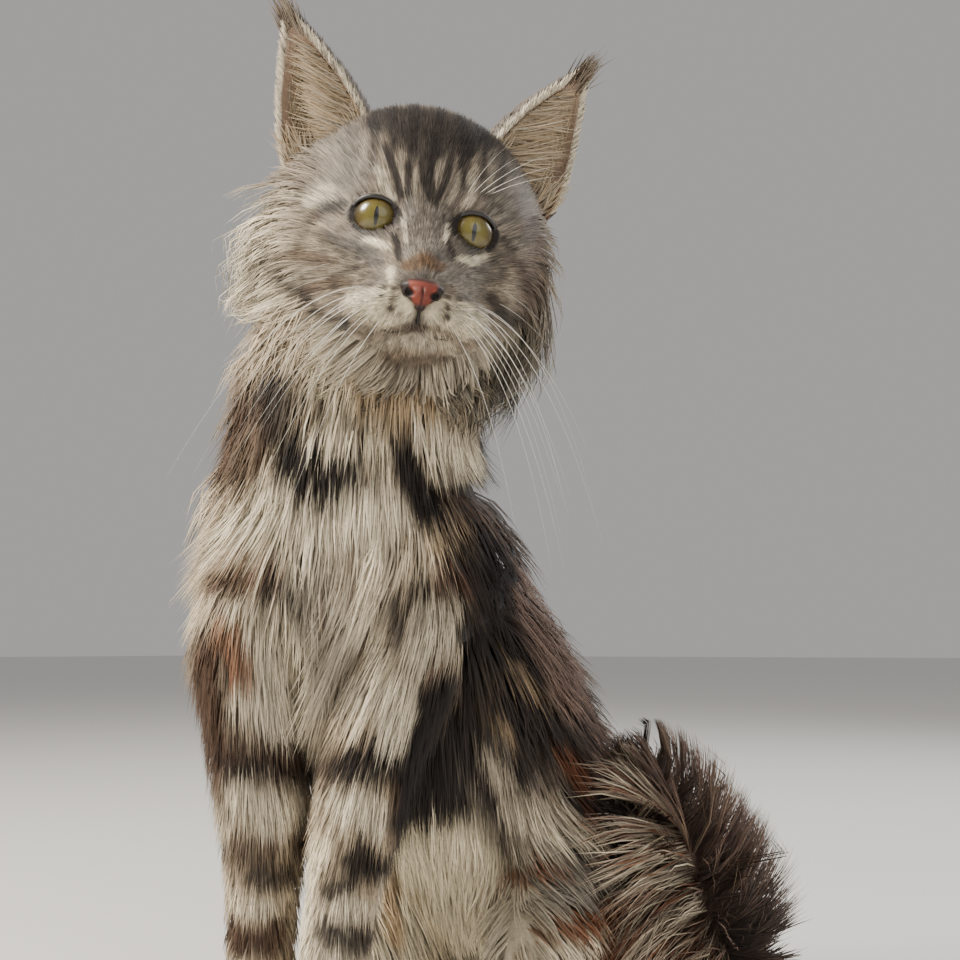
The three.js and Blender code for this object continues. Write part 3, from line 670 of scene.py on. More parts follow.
class Hide:
    """A skin's mesh with what its coat needs to know at every corner."""

    def __init__(self, points, faces, sources, spread):
        self.points, self.faces = points, faces
        self.triangles = triangles_of(faces)
        self.normals = normals_of(points, self.triangles)
        self.sources = sources
        near = finder(sources["point"])
        found = [near.find_n(place, 8) for place in points]
        index = np.array([[one[1] for one in row] for row in found])
        far = np.array([[one[2] for one in row] for row in found])
        agree = np.einsum("ikj,ij->ik", sources["out"][index], self.normals)
        weight = np.exp(-(((far - far[:, :1]) / spread) ** 2)) * np.maximum(agree, 0.03) ** 2
        self.nearest = index[np.arange(len(points)), weight.argmax(1)]
        weight /= weight.sum(1, keepdims=True)
        self.flow = unit(np.einsum("ik,ikj->ij", weight, sources["flow"][index]))
        self.values = {key: np.sum(weight * sources[key][index], axis=1) for key in SIZES}
        self.piece = sources["piece"][self.nearest].copy()
        self.tree = BVHTree.FromPolygons(points.tolist(), self.triangles.tolist())
        first, second, third = (points[self.triangles[:, k]] for k in range(3))
        across = np.cross(second - first, third - first)
        self.area, self.face_out = np.linalg.norm(across, axis=1) / 2, unit(across)
        self.face_flow = unit(self.flow[self.triangles].mean(1))

    def settle_flow(self, rounds=3):
        """Evens out the lie between neighbours and lays it along the surface."""
        for _ in range(rounds):
            total = self.flow.copy()
            for k in range(3):
                np.add.at(total, self.triangles[:, k], self.flow[self.triangles[:, (k + 1) % 3]])
            self.flow = unit(total)
        self.face_flow = unit(self.flow[self.triangles].mean(1))

    def roots(self, piece, count, seed, keep=None):
        """Seeded places spread over one piece's share of the skin."""
        vary = np.random.default_rng(seed)
        weight = self.area * (self.piece[self.triangles[:, 0]] == piece)
        if keep is not None:
            weight = weight * keep(self.points[self.triangles].mean(1))
        face = vary.choice(len(weight), count, p=weight / weight.sum())
        split = np.sort(vary.random((count, 2)), axis=1)
        share = np.stack([split[:, 0], split[:, 1] - split[:, 0], 1 - split[:, 1]], 1)
        corners = self.triangles[face]

        def blend(rows):
            return np.einsum("ik,ik...->i...", share, rows[corners])

        spots = {
            "point": blend(self.points), "out": unit(blend(self.normals)), "flow": unit(blend(self.flow))
        }
        for key, rows in self.values.items():
            spots[key] = blend(rows)
        spots["source"] = self.nearest[corners[:, 0]]
        return spots

    def unwrap(self, spots):
        """Places on the skin's unwrap, one tile for each form that the coat grows from."""
        keys = ("point", "round", "ahead", "angle", "t", "tile")
        source = {key: self.sources[key][spots["source"]] for key in keys}
        away = spots["point"] - source["point"]
        along, around = (
            dot(away, source[key])[:, 0] / dot(source[key], source[key])[:, 0] for key in ("ahead", "round")
        )
        tiles, which = np.unique(source["tile"], return_inverse=True)
        wide = math.ceil(math.sqrt(len(tiles)))
        u = np.mod(source["angle"] + around, 360) / 360
        v = np.clip(source["t"] + along, 0, 1)
        corner = np.stack([which % wide, which // wide], 1)
        return (corner + 0.01 + 0.98 * np.stack([u, v], 1)) / wide


STEPS = 5


def trace(hide, spots, seed, clear=0.5, gravity=0.06, keep_way=0.6, floor=1.2):
    """Paths of the hair from its roots: bending to the lie and never through the skin."""
    vary = np.random.default_rng(seed)
    count = len(spots["point"])
    layer = vary.uniform(0.35, 1.0, count)
    paths = np.zeros((count, STEPS + 1, 3))
    normal, flow = spots["out"], spots["flow"]
    flow = unit(flow - normal * dot(flow, normal))
    lift = np.radians(spots["lift"] * vary.uniform(0.75, 1.25, count))[:, None]
    way = unit(flow * np.cos(lift) + normal * np.sin(lift))
    place = spots["point"] - normal * 0.6
    paths[:, 0] = place
    step = (spots["length"] / STEPS)[:, None]
    for i in range(1, STEPS + 1):
        share = i / STEPS
        place = place + way * step
        found = [hide.tree.find_nearest(p) for p in place]
        near = np.array([one[0][:] for one in found])
        face = np.array([one[2] for one in found])
        facing = hide.face_out[face]
        height = dot(place - near, facing)[:, 0]
        most = spots["loft"] * (0.25 + 0.75 * layer) * min(1.0, 0.35 + share)
        least = clear + 0.3 * layer * spots["loft"] * math.sin(math.pi * min(share, 0.7))
        want = np.clip(height, least, np.maximum(most, least + 0.2))
        inside = height < 0
        place = np.where(
            inside[:, None], near + facing * want[:, None], place + facing * (want - height)[:, None]
        )
        place[:, 2] = np.maximum(place[:, 2], floor)
        paths[:, i] = place
        local = hide.face_flow[face]
        local = unit(local - facing * dot(local, facing))
        rising = np.sin(lift) * (1 - 0.75 * share)
        way = unit(way * keep_way + (local + facing * rising) * (1 - keep_way) + DOWN * gravity)
    return paths


def along_paths(paths, shares):
    """Places at shares of the way along every path."""
    at = np.asarray(shares) * (paths.shape[1] - 1)
    i = np.minimum(at.astype(int), paths.shape[1] - 2)
    f = (at - i)[None, :, None]
    return paths[:, i] * (1 - f) + paths[:, i + 1] * f


def combed(hide, piece, count, locks, seed, clump, shares, keep=None, **lay):
    """Spots and paths of many tufts that gather into fewer locks."""
    vary = np.random.default_rng(seed)
    spots = hide.roots(piece, count, seed + 1, keep)
    guides = hide.roots(piece, locks, seed + 2, keep)
    guide_paths = trace(hide, guides, seed + 3, **lay)
    tree = finder(guides["point"])
    nearest = np.array([tree.find(place)[1] for place in spots["point"]])
    base = along_paths(guide_paths, shares)[nearest]
    start = base[:, :1]
    scale = np.clip(spots["length"] / guides["length"][nearest], 0.6, 1.5) * vary.uniform(0.72, 1.08, count)
    shift = (spots["point"] - spots["out"] * 0.5)[:, None] - start
    pull = (clump * np.asarray(shares) ** 1.4)[None, :, None]
    grown = start + (base - start) * scale[:, None, None]
    paths = grown + shift * (1 - pull)
    stray = vary.normal(0, 1, (count, 1, 3)) * (np.asarray(shares) ** 1.6)[None, :, None]
    paths = paths + stray * (0.045 * spots["length"])[:, None, None]
    paths[:, 0] = spots["point"] - spots["out"] * 0.7
    paths[:, :, 2] = np.maximum(paths[:, :, 2], 1.2)
    spots["guide"] = nearest
    return spots, paths


RING_WIDTHS = {1: (1.0,), 2: (0.8, 1.0), 3: (0.75, 1.0, 0.7)}
PATCH = 0.003


def spike_faces(rings):
    """Triangles of one closed tapering tuft, with their places on its patch."""
    faces, places = [], []
    for ring, side in np.ndindex(rings, 3):
        a, b = 3 * ring + side, 3 * ring + (side + 1) % 3
        low, high = (ring + 1) / (rings + 1), (ring + 2) / (rings + 1)
        near, far = side / 3, (side + 1) / 3
        if ring < rings - 1:
            faces += [(a, b, b + 3), (a, b + 3, a + 3)]
            places += [(near, low, far, low, far, high), (near, low, far, high, near, high)]
        else:
            faces.append((a, b, 3 * rings))
            places.append((near, low, far, low, (near + far) / 2, 1.0))
    faces.append((0, 2, 1))
    places.append((0.0, 0.0, 1.0, 0.0, 0.5, 1 / (rings + 1)))
    return np.array(faces), np.array(places).reshape(-1, 3, 2)


def spikes(name, paths, out, width, thick, colours, unwrap):
    """A mesh of closed tapering tufts along paths, coloured from root to tip."""
    count, rings = len(paths), paths.shape[1] - 1
    ahead = unit(np.diff(paths, axis=1, append=2 * paths[:, -1:] - paths[:, -2:-1]))
    ways = ahead[:, :rings]
    across = unit(np.cross(ways, out[:, None, :]))
    up = np.cross(across, ways)
    wide, deep = (
        size[:, None, None] * np.array(RING_WIDTHS[rings])[None, :, None] for size in (width / 2, thick)
    )
    centre = paths[:, :rings]
    corners = np.stack([centre + across * wide, centre - across * wide, centre + up * deep], 2)
    points = np.concatenate([corners.reshape(count, 3 * rings, 3), paths[:, -1:]], 1)
    own = np.stack([across + up * 0.4, -across + up * 0.4, up], 2)
    normals = unit(own * 0.45 + out[:, None, None, :] * 0.75).reshape(count, 3 * rings, 3)
    normals = np.concatenate([normals, unit(out * 0.8 + ahead[:, -1] * 0.2)[:, None]], 1)
    shades = np.concatenate([np.repeat(colours[:, :rings], 3, axis=1), colours[:, -1:]], 1)
    faces, places = spike_faces(rings)
    each = 3 * rings + 1
    index = (faces[None] + (np.arange(count) * each)[:, None, None]).reshape(-1, 3)
    start = unwrap - PATCH / 2
    patch = (start[:, None, None, :] + places[None] * PATCH).reshape(-1, 2)
    mesh = bpy.data.meshes.new(name)
    mesh.vertices.add(count * each)
    mesh.vertices.foreach_set("co", packed(points.reshape(-1, 3)).ravel())
    mesh.loops.add(index.size)
    mesh.loops.foreach_set("vertex_index", index.ravel().astype(np.int32))
    mesh.polygons.add(len(index))
    mesh.polygons.foreach_set("loop_start", np.arange(0, index.size, 3, dtype=np.int32))
    mesh.update(calc_edges=True)
    mesh.uv_layers.new(name="OFBake").data.foreach_set("uv", patch.ravel())
    carry_colours(mesh, shades.reshape(-1, 3))
    mesh.normals_split_custom_set_from_vertices(normals.reshape(-1, 3).tolist())
    return placed(name, mesh)


# Colours of the coat, as a museum's painter would name them
COLOURS = {
    "silver": paint(192, 178, 155),
    "pale": paint(236, 222, 195),
    "cream": paint(236, 221, 190),
    "warm": paint(188, 160, 124),
    "grey": paint(122, 114, 104),
    "brown": paint(78, 56, 42),
    "dark": paint(34, 26, 23),
    "tan": paint(116, 88, 62),
    "rust": paint(128, 76, 46),
    "plume": paint(116, 94, 82),
}


def as_seen(x, y):
    """How far places lie to the camera's right and away from it."""
    return x * 0.839 + y * 0.545, y * 0.839 - x * 0.545


def blot(points, centre, radii, seed=0, rough=0.35, size=14):
    """A soft-edged patch round a centre, with a broken edge."""
    away = (points - np.array(centre, float)) / np.array(radii, float)
    level = np.linalg.norm(away, axis=1) + rough * noise(points, size, seed)
    return ramp(1.15, 0.75, level)


def stroke(points, half, *places, seed=0, rough=0.3, size=9, ahead=None):
    """A soft-edged stripe through places, with a broken edge, deep along a direction."""
    places = np.array(places, float)
    reach = half * 2 + (0 if ahead is None else DEEP)
    close = np.all((points > places.min(0) - reach) & (points < places.max(0) + reach), axis=1)
    found = np.zeros(len(points))
    if not close.any():
        return found
    flat = np.eye(3) if ahead is None else np.eye(3) - (1 - SQUASH) * np.outer(ahead, ahead)
    here, places = points[close] @ flat, places @ flat
    far = np.full(len(here), 1e9)
    for a, b in zip(places[:-1], places[1:]):
        share = np.clip(((here - a) @ (b - a)) / np.dot(b - a, b - a), 0, 1)
        far = np.minimum(far, np.linalg.norm(here - (a + share[:, None] * (b - a)), axis=1))
    if ahead is not None:
        depth = points[close] @ ahead - np.mean(places @ ahead) / SQUASH
        far = far + np.maximum(np.abs(depth) - DEEP, 0)
    found[close] = ramp(1.25, 0.75, far / half + rough * noise(points[close], size, seed))
    return found


def layered(colours, *layers):
    """Colours, or one by its name, with others of the coat laid over by shares."""
    if isinstance(colours, str):
        colours = np.tile(COLOURS[colours], (len(layers[0][1]), 1))
    for name, share in layers:
        colours = mix(colours, COLOURS[name], np.clip(share, 0, 1))
    return colours


# Direction in which the marks are laid on, how much distances along it count, and how deep a mark goes
FORWARD = unit(np.array((0.536, -0.826, -0.1)))
SQUASH = 0.12
DEEP = 42.0
DARK_MARKS = ("dark", "brown", "rust", "grey", "plume")


# Marks of the face in the head's own frame, some of them painted light and shade: colour, strength, half width,
# and x, y, z of each place
FACE_MARKS = (
    ("dark", 0.85, 8.4, -22.8, -18.4, 51.8, -2.4, -24.2, 51.7, 19.7, -20.7, 51.5),
    ("dark", 0.85, 5, -14.6, -31.4, 39.1, -0.1, -34.3, 37.5, 15.3, -29.8, 41.9),
    ("dark", 0.9, 2.7, -3, -37.8, 30.7, -1.1, -43.5, 20, 2.2, -47, 11.8),
    ("dark", 0.9, 1.4, -22.8, -31.7, 36, -18.4, -37.9, 27.8, -14.7, -42.9, 18, -12.6, -45.1, 11.9),
    ("dark", 0.85, 1.2, -11.3, -38.6, 28.5, -9.5, -45.5, 12.6),
    ("dark", 0.85, 1.4, 8.4, -36.1, 33.4, 7.1, -41.2, 23.6, 4.6, -45.6, 14.4),
    ("dark", 0.8, 1.5, 12.5, -32.3, 38.7, 15, -38.8, 27.1, 16.5, -41.7, 20.6),
    ("silver", 0.45, 1, -7.6, -39.9, 25.9, -6, -47, 11.3),
    ("silver", 0.45, 1.1, 3.1, -37.2, 32.5, 2.1, -42.4, 22.1, 2.9, -46.6, 12.6),
    ("pale", 0.59, 2.4, -23.7, -39.1, 23, -20.5, -42.1, 15.9, -16.5, -44, 10),
    ("pale", 0.85, 1.2, -11.6, -47.9, 4.4, -10.2, -52.4, -1.1, -8.7, -59.1, -10),
    ("silver", 0.52, 1.2, -13.2, -39.9, 25.7, -11.3, -44.9, 14),
    ("pale", 0.55, 1.6, 13.5, -39.2, 26.5, 11.7, -43.2, 18.9, 9.9, -45.4, 13.5),
    ("pale", 0.55, 2.3, 18.8, -38.1, 27.3, 20.2, -41.3, 19.4, 18.2, -43.1, 15.2),
    ("pale", 0.6, 4.1, -54.5, -23.8, 7.7, -46.2, -31.6, 11.3),
    ("dark", 0.95, 2.4, -38, -38, 5, -44.5, -35.3, 2.4, -50.2, -30.2, -1),
    ("brown", 0.6, 2.1, -50.2, -30.2, -1, -54.9, -23.4, -7.4, -56.6, -20.1, -16.3),
    ("dark", 0.8, 2.2, -72.9, 3.1, -20.8, -69.3, 5, -28.1, -61.2, -3.5, -33.5, -51.4, -12.7, -38),
    ("dark", 0.95, 2, -51.4, -12.7, -38, -46.1, -18.1, -43.6, -40.7, -25.9, -46.8, -30.3, -63.7, -49.9),
    ("brown", 0.6, 1.9, -67.6, -1.2, -20.9, -54, -22.8, -19, -38.5, -41.3, -22.3),
    ("dark", 0.6, 1.4, -39, -40, -28.3, -30.5, -48.4, -24.5, -17.9, -62.9, -21.4),
    ("brown", 0.6, 1.8, -51.9, -18.3, -33.3, -43.4, -33.5, -32.2, -32.5, -45.2, -30.1),
    ("dark", 0.5, 2, -46.3, -35.3, -9.1, -34, -44.8, -13.7, -22.1, -58.3, -18.9),
    ("cream", 0.95, 1.8, -25.8, -50.2, -10.4, -20.3, -56.5, -12.9, -16.3, -58.6, -13.1),
    ("dark", 0.95, 1.4, -14.2, -55.5, -7.2, -12.3, -59.6, -12.1, -11.2, -65.2, -18.9),
    ("cream", 0.97, 3.7, -28.6, -72.3, -40.6, -20.8, -77.2, -39.6, -16.9, -78.4, -44.4),
    ("cream", 0.95, 3.4, -13.5, -76.2, -36.7, -7, -78, -40),
    ("cream", 0.9, 1.9, -14.1, -69, -24.6, -13.4, -74.2, -30.6),
    ("tan", 0.95, 3.4, -7.1, -69.8, -21.5, 0.1, -69.4, -17.5, 6.1, -68.7, -19.6),
    ("silver", 0.8, 5.1, -5.5, -69.7, -56, 4.9, -71.1, -55.5, 13.7, -72.7, -52.7),
    # Painted shade of the mouth: a brown line just under the closed mouth
    ("brown", 0.6, 1.3, -9.3, -74.3, -51, 2.6, -75.5, -47.6, 14.7, -77.1, -48.5),
    # Painted shade under the chin: a brown band where the cream chin lies in shadow
    ("brown", 0.7, 2.2, -10.1, -48.5, -62.4, 0.9, -60.2, -61.8, 6.5, -52.4, -62.7, 18.4, -40.6, -60.2),
    # The pale ruff on the right side: partly its own pale, partly painted light on the lit side
    ("pale", 0.85, 13, -80, 8.5, -16.4, -83.3, 25.8, -37.2, -71.6, 20.1, -52.1),
    ("silver", 0.7, 7.6, -70.9, -2.7, 6.5, -74.1, -0, -6.3),
    ("dark", 0.8, 1.8, 38, -38, 1, 42.6, -37.7, -2.7),
    ("dark", 0.85, 2.4, 35.6, -43.1, -27.4, 44.5, -30.2, -33.9, 59.7, 2.9, -34.7),
    ("brown", 0.7, 2.8, 46.9, -34.5, -7.7, 56, -19.2, -18.7),
    # Brown on the left cheek: partly its own colour, partly painted shade on the side away from the light
    ("brown", 0.6, 5.9, 54, -23, 10.3, 61.6, -12.8, -5.9, 62.7, 6.2, -28.8),
    ("pale", 0.95, 3.4, 13.8, -77.1, -38.8, 23.5, -76.2, -40.5),
    ("cream", 0.95, 2.9, 9, -78, -38, 13.9, -76.4, -37.3),
    ("dark", 0.9, 1.3, 10.8, -57.3, -7.6, 13, -60.8, -14.3),
    ("cream", 0.95, 1.9, 15.9, -59.1, -13.6, 22.8, -55.7, -14.3, 28.4, -47, -8.6),
    ("pale", 0.9, 1.1, 10, -51.1, 1, 8.9, -56.9, -6.6),
)


def marked(colours, points, marks, size, rough, wide, ahead):
    """Colours with the marks of a table laid over, the light ones first."""
    for dark in (False, True):
        for i, (name, share, half, *numbers) in enumerate(marks):
            if (name in DARK_MARKS) == dark:
                half, places = half * (wide if dark else 0.8 * wide), np.reshape(numbers, (-1, 3))
                band = stroke(points, half, *places, seed=i, rough=rough, size=size, ahead=ahead)
                colours = layered(colours, (name, share * band))
    return colours


def head_colours(points):
    """Markings of the head, by places in its own frame; the pale right side and brown left side are partly
    painted light and shade, and the mouth and chin carry painted shade.
    """
    p = to_head(points)
    m = p.copy()
    m[:, 0] = np.abs(p[:, 0])
    (x, y, z), left = m.T, p[:, 0]
    grain, back = noise(p, 9, 2), ramp(-26, 20, y)
    lines = np.sin(left / 1.7 + 2.2 * noise(p * (1, 0.5, 0.5), 16, 13))
    crown = ramp(14, 34, z) * ramp(46, 30, x) * ramp(22, -2, y)
    colours = layered(
        "grey",
        ("silver", (0.4 + 0.25 * grain) * ramp(20, 45, x) * ramp(18, -8, z)),
        # Pale over the back of the head on its right side: partly the ruff's own pale, partly painted light on
        # the lit side
        ("pale", 0.75 * back * ramp(24, -24, z) * ramp(10, -30, left)),
        ("warm", 0.25 * (0.5 + 0.5 * noise(p, 18, 3))),
        ("brown", 0.35 * ramp(0.0, 0.9, noise(p, 12, 4)) * ramp(-10, -40, z)),
        ("pale", 0.6 * ramp(-46, -60, z) * ramp(-70, -56, y) * (0.8 + 0.5 * noise(p, 8, 15))),
        # Brown over the back of the head on its left side: partly its own colour, partly painted shade on the
        # side away from the light
        ("brown", 0.28 * back * ramp(0, 40, left) * (0.7 + 0.4 * noise(p, 14, 19))),
        ("grey", 0.7 * ramp(13, 9, x) * ramp(20, 4, z)),
        ("dark", 0.5 * ramp(34, 52, z) * (0.8 + 0.3 * noise(p, 8, 12))),
        ("dark", 0.4 * blot(m, (27, -44, -12), (18, 18, 12), 9, 0.25)),
        ("cream", 0.9 * blot(m, (16, -72, -41), (15, 24, 9), 8, 0.12)),
        ("dark", 0.75 * crown * ramp(-0.1, 0.6, lines)),
        ("silver", 0.35 * crown * ramp(-0.5, -0.9, lines) * ramp(50, 34, z)),
    )
    colours = marked(colours, p, FACE_MARKS, 6, 0.2, 1.25, FORWARD @ HEAD_SPIN)
    over = [("silver", 0.55 * ramp(30, 42, left) * ramp(-36, -48, z) * (0.8 + 0.5 * grain))]
    for _, side in SIDES:
        near = (y < -30) * (np.linalg.norm(p - EYE_SPOTS[side], axis=1) < EYE_RADIUS + 6)
        ring = ramp(1.22, 1.08, lid_level(p, side) + 0.05 * noise(p, 6, 20)) * near
        over.append(("dark", 0.95 * ring * (0.55 + 0.45 * ramp(-4, 3, z))))
    for row, k in np.ndindex(3, 4):
        away = m - (12 + 4.6 * k, -77 + 4.2 * k, -33.5 - 4.2 * row + 0.5 * k)
        over.append(("dark", 0.9 * ramp(2.3, 1.2, np.linalg.norm(away * (1, 0.5, 1), axis=1))))
    colours = layered(colours, *over) * (1 + 0.3 * noise(p * (1, 0.6, 0.6), 3.2, 14))[:, None]
    return layered(colours, ("dark", 0.7 * stroke(m, 1.5, (0, -80, -38), (0, -76, -46), seed=18, rough=0.05)))


# Marks of the body in the drawing frame, in the same way
BODY_MARKS = (
    ("brown", 0.75, 7.5, -27, -32, 368, -35, -26, 354, -58, -13, 337),
    ("dark", 0.8, 3.8, -9, -27, 368, 6, -23, 363, 20, -18, 360),
    ("brown", 0.85, 9.8, -18, -24, 354, -31, -20, 332),
    ("dark", 0.9, 5.7, -4, -23, 365, 3, -22, 343, 7, -16, 327),
    ("dark", 1, 6.1, 8, -21, 329, 15, -15, 319, 28, -12, 319),
    ("dark", 0.9, 4.2, 25, -12, 323, 32, -6, 327, 37, 1, 322),
    ("dark", 0.7, 2.8, 23, -17, 353, 33, -8, 351, 40, -7, 348),
    ("pale", 0.9, 5.2, 11, -20, 340, 25, -16, 335, 32, -7, 335),
    ("cream", 0.8, 5.7, 21, -18, 369, 27, -13, 358, 34, -7, 355),
    ("warm", 0.8, 9.6, 43, -2, 365, 56, 6, 361, 64, 25, 365),
    ("cream", 0.9, 4.7, 42, -1, 343, 45, 5, 336),
    ("pale", 0.95, 6.4, 56, 21, 346, 60, 35, 339, 60, 56, 337),
    ("dark", 0.85, 1.9, 49, 12, 350, 51, 14, 339),
    ("dark", 1, 5.2, 50, 12, 333, 53, 17, 320, 58, 28, 306),
    ("dark", 0.9, 4.5, 56, 24, 317, 61, 44, 323, 68, 61, 327),
    ("brown", 0.8, 7.1, 64, 49, 314, 68, 68, 318),
    ("pale", 0.85, 10.3, 8, -13, 307, 31, -14, 300, 40, 1, 305, 44, 10, 310),
    ("pale", 0.8, 9.5, -10, -21, 308, -21, -27, 299, -26, -31, 287),
    ("warm", 0.7, 6.7, 63, 25, 292, 68, 40, 295),
    ("rust", 0.6, 4.6, -21, -37, 279, -8, -30, 277, 3, -25, 274),
    ("brown", 0.85, 4.1, -28, -35, 275, -4, -39, 272, 8, -33, 269),
    ("dark", 0.95, 3.2, 8, -35, 269, 8, -22, 269, 10, -12, 268),
    ("dark", 0.95, 2.7, 56, 1, 267, 62, 14, 270, 71, 25, 273),
    ("brown", 0.8, 4.7, 72, 12, 273, 70, 38, 276, 72, 47, 271),
    ("rust", 0.5, 2.8, 68, 25, 281, 70, 41, 275),
    ("brown", 0.65, 3.7, 24, -0, 286, 30, -2, 273),
    ("grey", 0.6, 8.3, 14, -11, 267, 26, -8, 249, 21, 2, 225),
    ("dark", 0.8, 2.7, 44, 2, 265, 60, -5, 256, 51, 4, 244),
    ("brown", 0.7, 1.8, 19, -9, 265, 23, -10, 244),
    ("cream", 0.95, 2.8, 12, -23, 254, 12, -17, 238, 2, -3, 220),
    ("pale", 0.7, 3.6, 45, -8, 249, 43, -0, 228, 34, -5, 205),
    ("pale", 0.8, 6.3, 0, -35, 262, -9, -38, 260),
    ("rust", 0.65, 4.1, -16, -38, 250, -10, -34, 238, -8, -31, 228),
    ("brown", 0.9, 5.5, -26, -38, 240, -28, -35, 222, -29, -31, 203),
    ("pale", 0.75, 6.4, -3, -28, 243, -1, -20, 229, 0, -13, 219),
    ("pale", 0.8, 6.9, 63, 16, 259, 64, 24, 248, 60, 16, 237),
    ("rust", 0.6, 3.3, 60, 23, 230, 56, 39, 223),
    ("dark", 0.85, 7, 68, 52, 255, 63, 83, 239, 57, 74, 216),
    ("pale", 0.95, 6.9, -8, -30, 220, -3, -21, 213, 0, -8, 205),
    ("dark", 0.95, 4.6, -17, -30, 191, -5, -22, 191, -0, -7, 189, -2, 2, 185),
    ("brown", 0.7, 3.7, -17, -30, 198, -3, -18, 196, -4, 3, 192),
    ("pale", 0.9, 7.3, -12, -26, 176, -5, -18, 171, -1, -7, 166),
    ("brown", 0.75, 3.6, -15, -23, 155, -4, -16, 154),
    ("dark", 0.85, 3.6, -9, -19, 141, -3, -6, 138),
    ("pale", 0.7, 3.6, -18, -20, 129, -4, -11, 127),
    ("brown", 0.8, 4.5, -24, -17, 114, -4, -10, 115),
    ("pale", 0.95, 7.7, 48, 3, 220, 52, 13, 209, 48, 10, 201),
    ("dark", 1, 5.3, 32, -4, 190, 46, 6, 190, 50, 16, 187, 44, 34, 180),
    ("pale", 0.95, 5.8, 30, -7, 173, 39, -3, 172, 42, 8, 166),
    ("cream", 1, 4.5, 21, -8, 156, 10, -4, 141, 9, -5, 128, 10, -8, 115),
    ("dark", 0.95, 4.1, 36, -0, 152, 36, 14, 145, 34, 25, 143),
    ("dark", 0.85, 2.6, 26, -9, 138, 34, -2, 141),
    ("brown", 0.8, 5.9, 46, 20, 176, 44, 26, 156),
    ("pale", 0.85, 4, 29, -8, 132, 35, 3, 128),
    ("dark", 0.8, 3.5, 24, -10, 122, 33, -1, 117, 29, 20, 114),
    ("dark", 1, 9.9, 56, 37, 221, 40, 53, 196, 21, 71, 168, 35, 73, 171),
    ("dark", 0.9, 8.3, 63, 49, 250, 69, 85, 244, 64, 145, 240),
    ("dark", 0.9, 8.1, 71, 38, 287, 67, 77, 270, 68, 98, 254),
    ("warm", 0.55, 3.1, 61, 72, 225, 65, 94, 224, 68, 116, 218, 69, 125, 210),
    ("warm", 0.45, 3, 55, 64, 217, 57, 78, 208, 62, 89, 199),
    ("dark", 0.8, 7.8, 69, 126, 218, 71, 137, 195, 70, 169, 182),
    ("plume", 0.9, 10.5, 69, 112, 270, 69, 135, 246, 60, 170, 222),
    ("silver", 0.8, 4, 39, 70, 182, 43, 82, 169),
    ("silver", 0.7, 4.1, 52, 82, 188, 55, 99, 174),
    ("warm", 0.9, 4.3, -30, 100, 125, -30, 111, 105, -33, 119, 79),
    ("cream", 1, 9.9, 14, 88, 140, -0, 115, 108, -4, 144, 77),
    ("pale", 0.8, 7.6, 29, 115, 112, 31, 125, 84),
    ("grey", 0.7, 8.5, 72, 121, 128, 79, 153, 116),
    ("rust", 0.8, 2.6, 46, 108, 121, 64, 115, 126, 73, 127, 130),
    ("silver", 0.8, 5.3, 52, 114, 140, 71, 135, 138, 78, 146, 135),
    ("silver", 0.8, 5.4, 52, 104, 161, 64, 137, 155, 78, 157, 140),
    ("cream", 0.8, 2.2, 59, 123, 149, 71, 142, 143, 79, 155, 137),
    ("cream", 0.7, 2.1, 51, 105, 156, 59, 124, 153),
    ("rust", 0.85, 3.1, 80, 93, 99, 85, 129, 99, 85, 168, 97),
    ("rust", 0.6, 3.3, 68, 138, 185, 69, 164, 167, 78, 156, 148),
    ("dark", 0.9, 7.3, 70, 183, 164, 83, 183, 132, 92, 198, 103, 96, 230, 60),
    ("plume", 0.9, 11.3, 68, 202, 191, 66, 214, 178),
)


def body_colours(points):
    """Markings of the body, by places in the drawing frame; the dark rear of the flank is partly painted shade.
    """
    x, y, z = points.T
    blotchy = noise(points, 40, 21) + 0.5 * noise(points, 20, 22)
    edge = 30 + 0.5 * np.maximum(200 - z, 0) + np.clip(0.6 * (z - 300), 0, 30)
    back = ramp(0, 20, y - edge + 8 * noise(points, 24, 23))
    swirl = noise(points * (1, 1, 0.8), 24, 25)
    colours = layered(
        "silver",
        ("warm", 0.4 * ramp(60, -10, y) * ramp(150, 260, z) * (0.7 + 0.5 * blotchy)),
        ("pale", 0.7 * blot(points, (20, -12, 290), (34, 40, 60), 24, 0.3)),
        ("brown", 0.5 * ramp(0.1, 0.8, blotchy) * ramp(300, 340, z)),
        # The rear of the flank in brown and dark: partly its own dark coat, partly painted shade on the side
        # away from the light
        ("brown", 0.9 * back),
        ("dark", 0.95 * back * ramp(0.7, -0.1, blotchy)),
        ("grey", 0.6 * back * ramp(0.3, 0.6, swirl)),
        ("warm", 0.25 * back * ramp(0.5, 0.8, swirl)),
        ("cream", 0.95 * ramp(180, 150, z) * ramp(52, 38, np.abs(x)) * ramp(160, 130, y)),
    )
    return marked(colours, points, BODY_MARKS, 8, 0.35, 1.55, FORWARD)


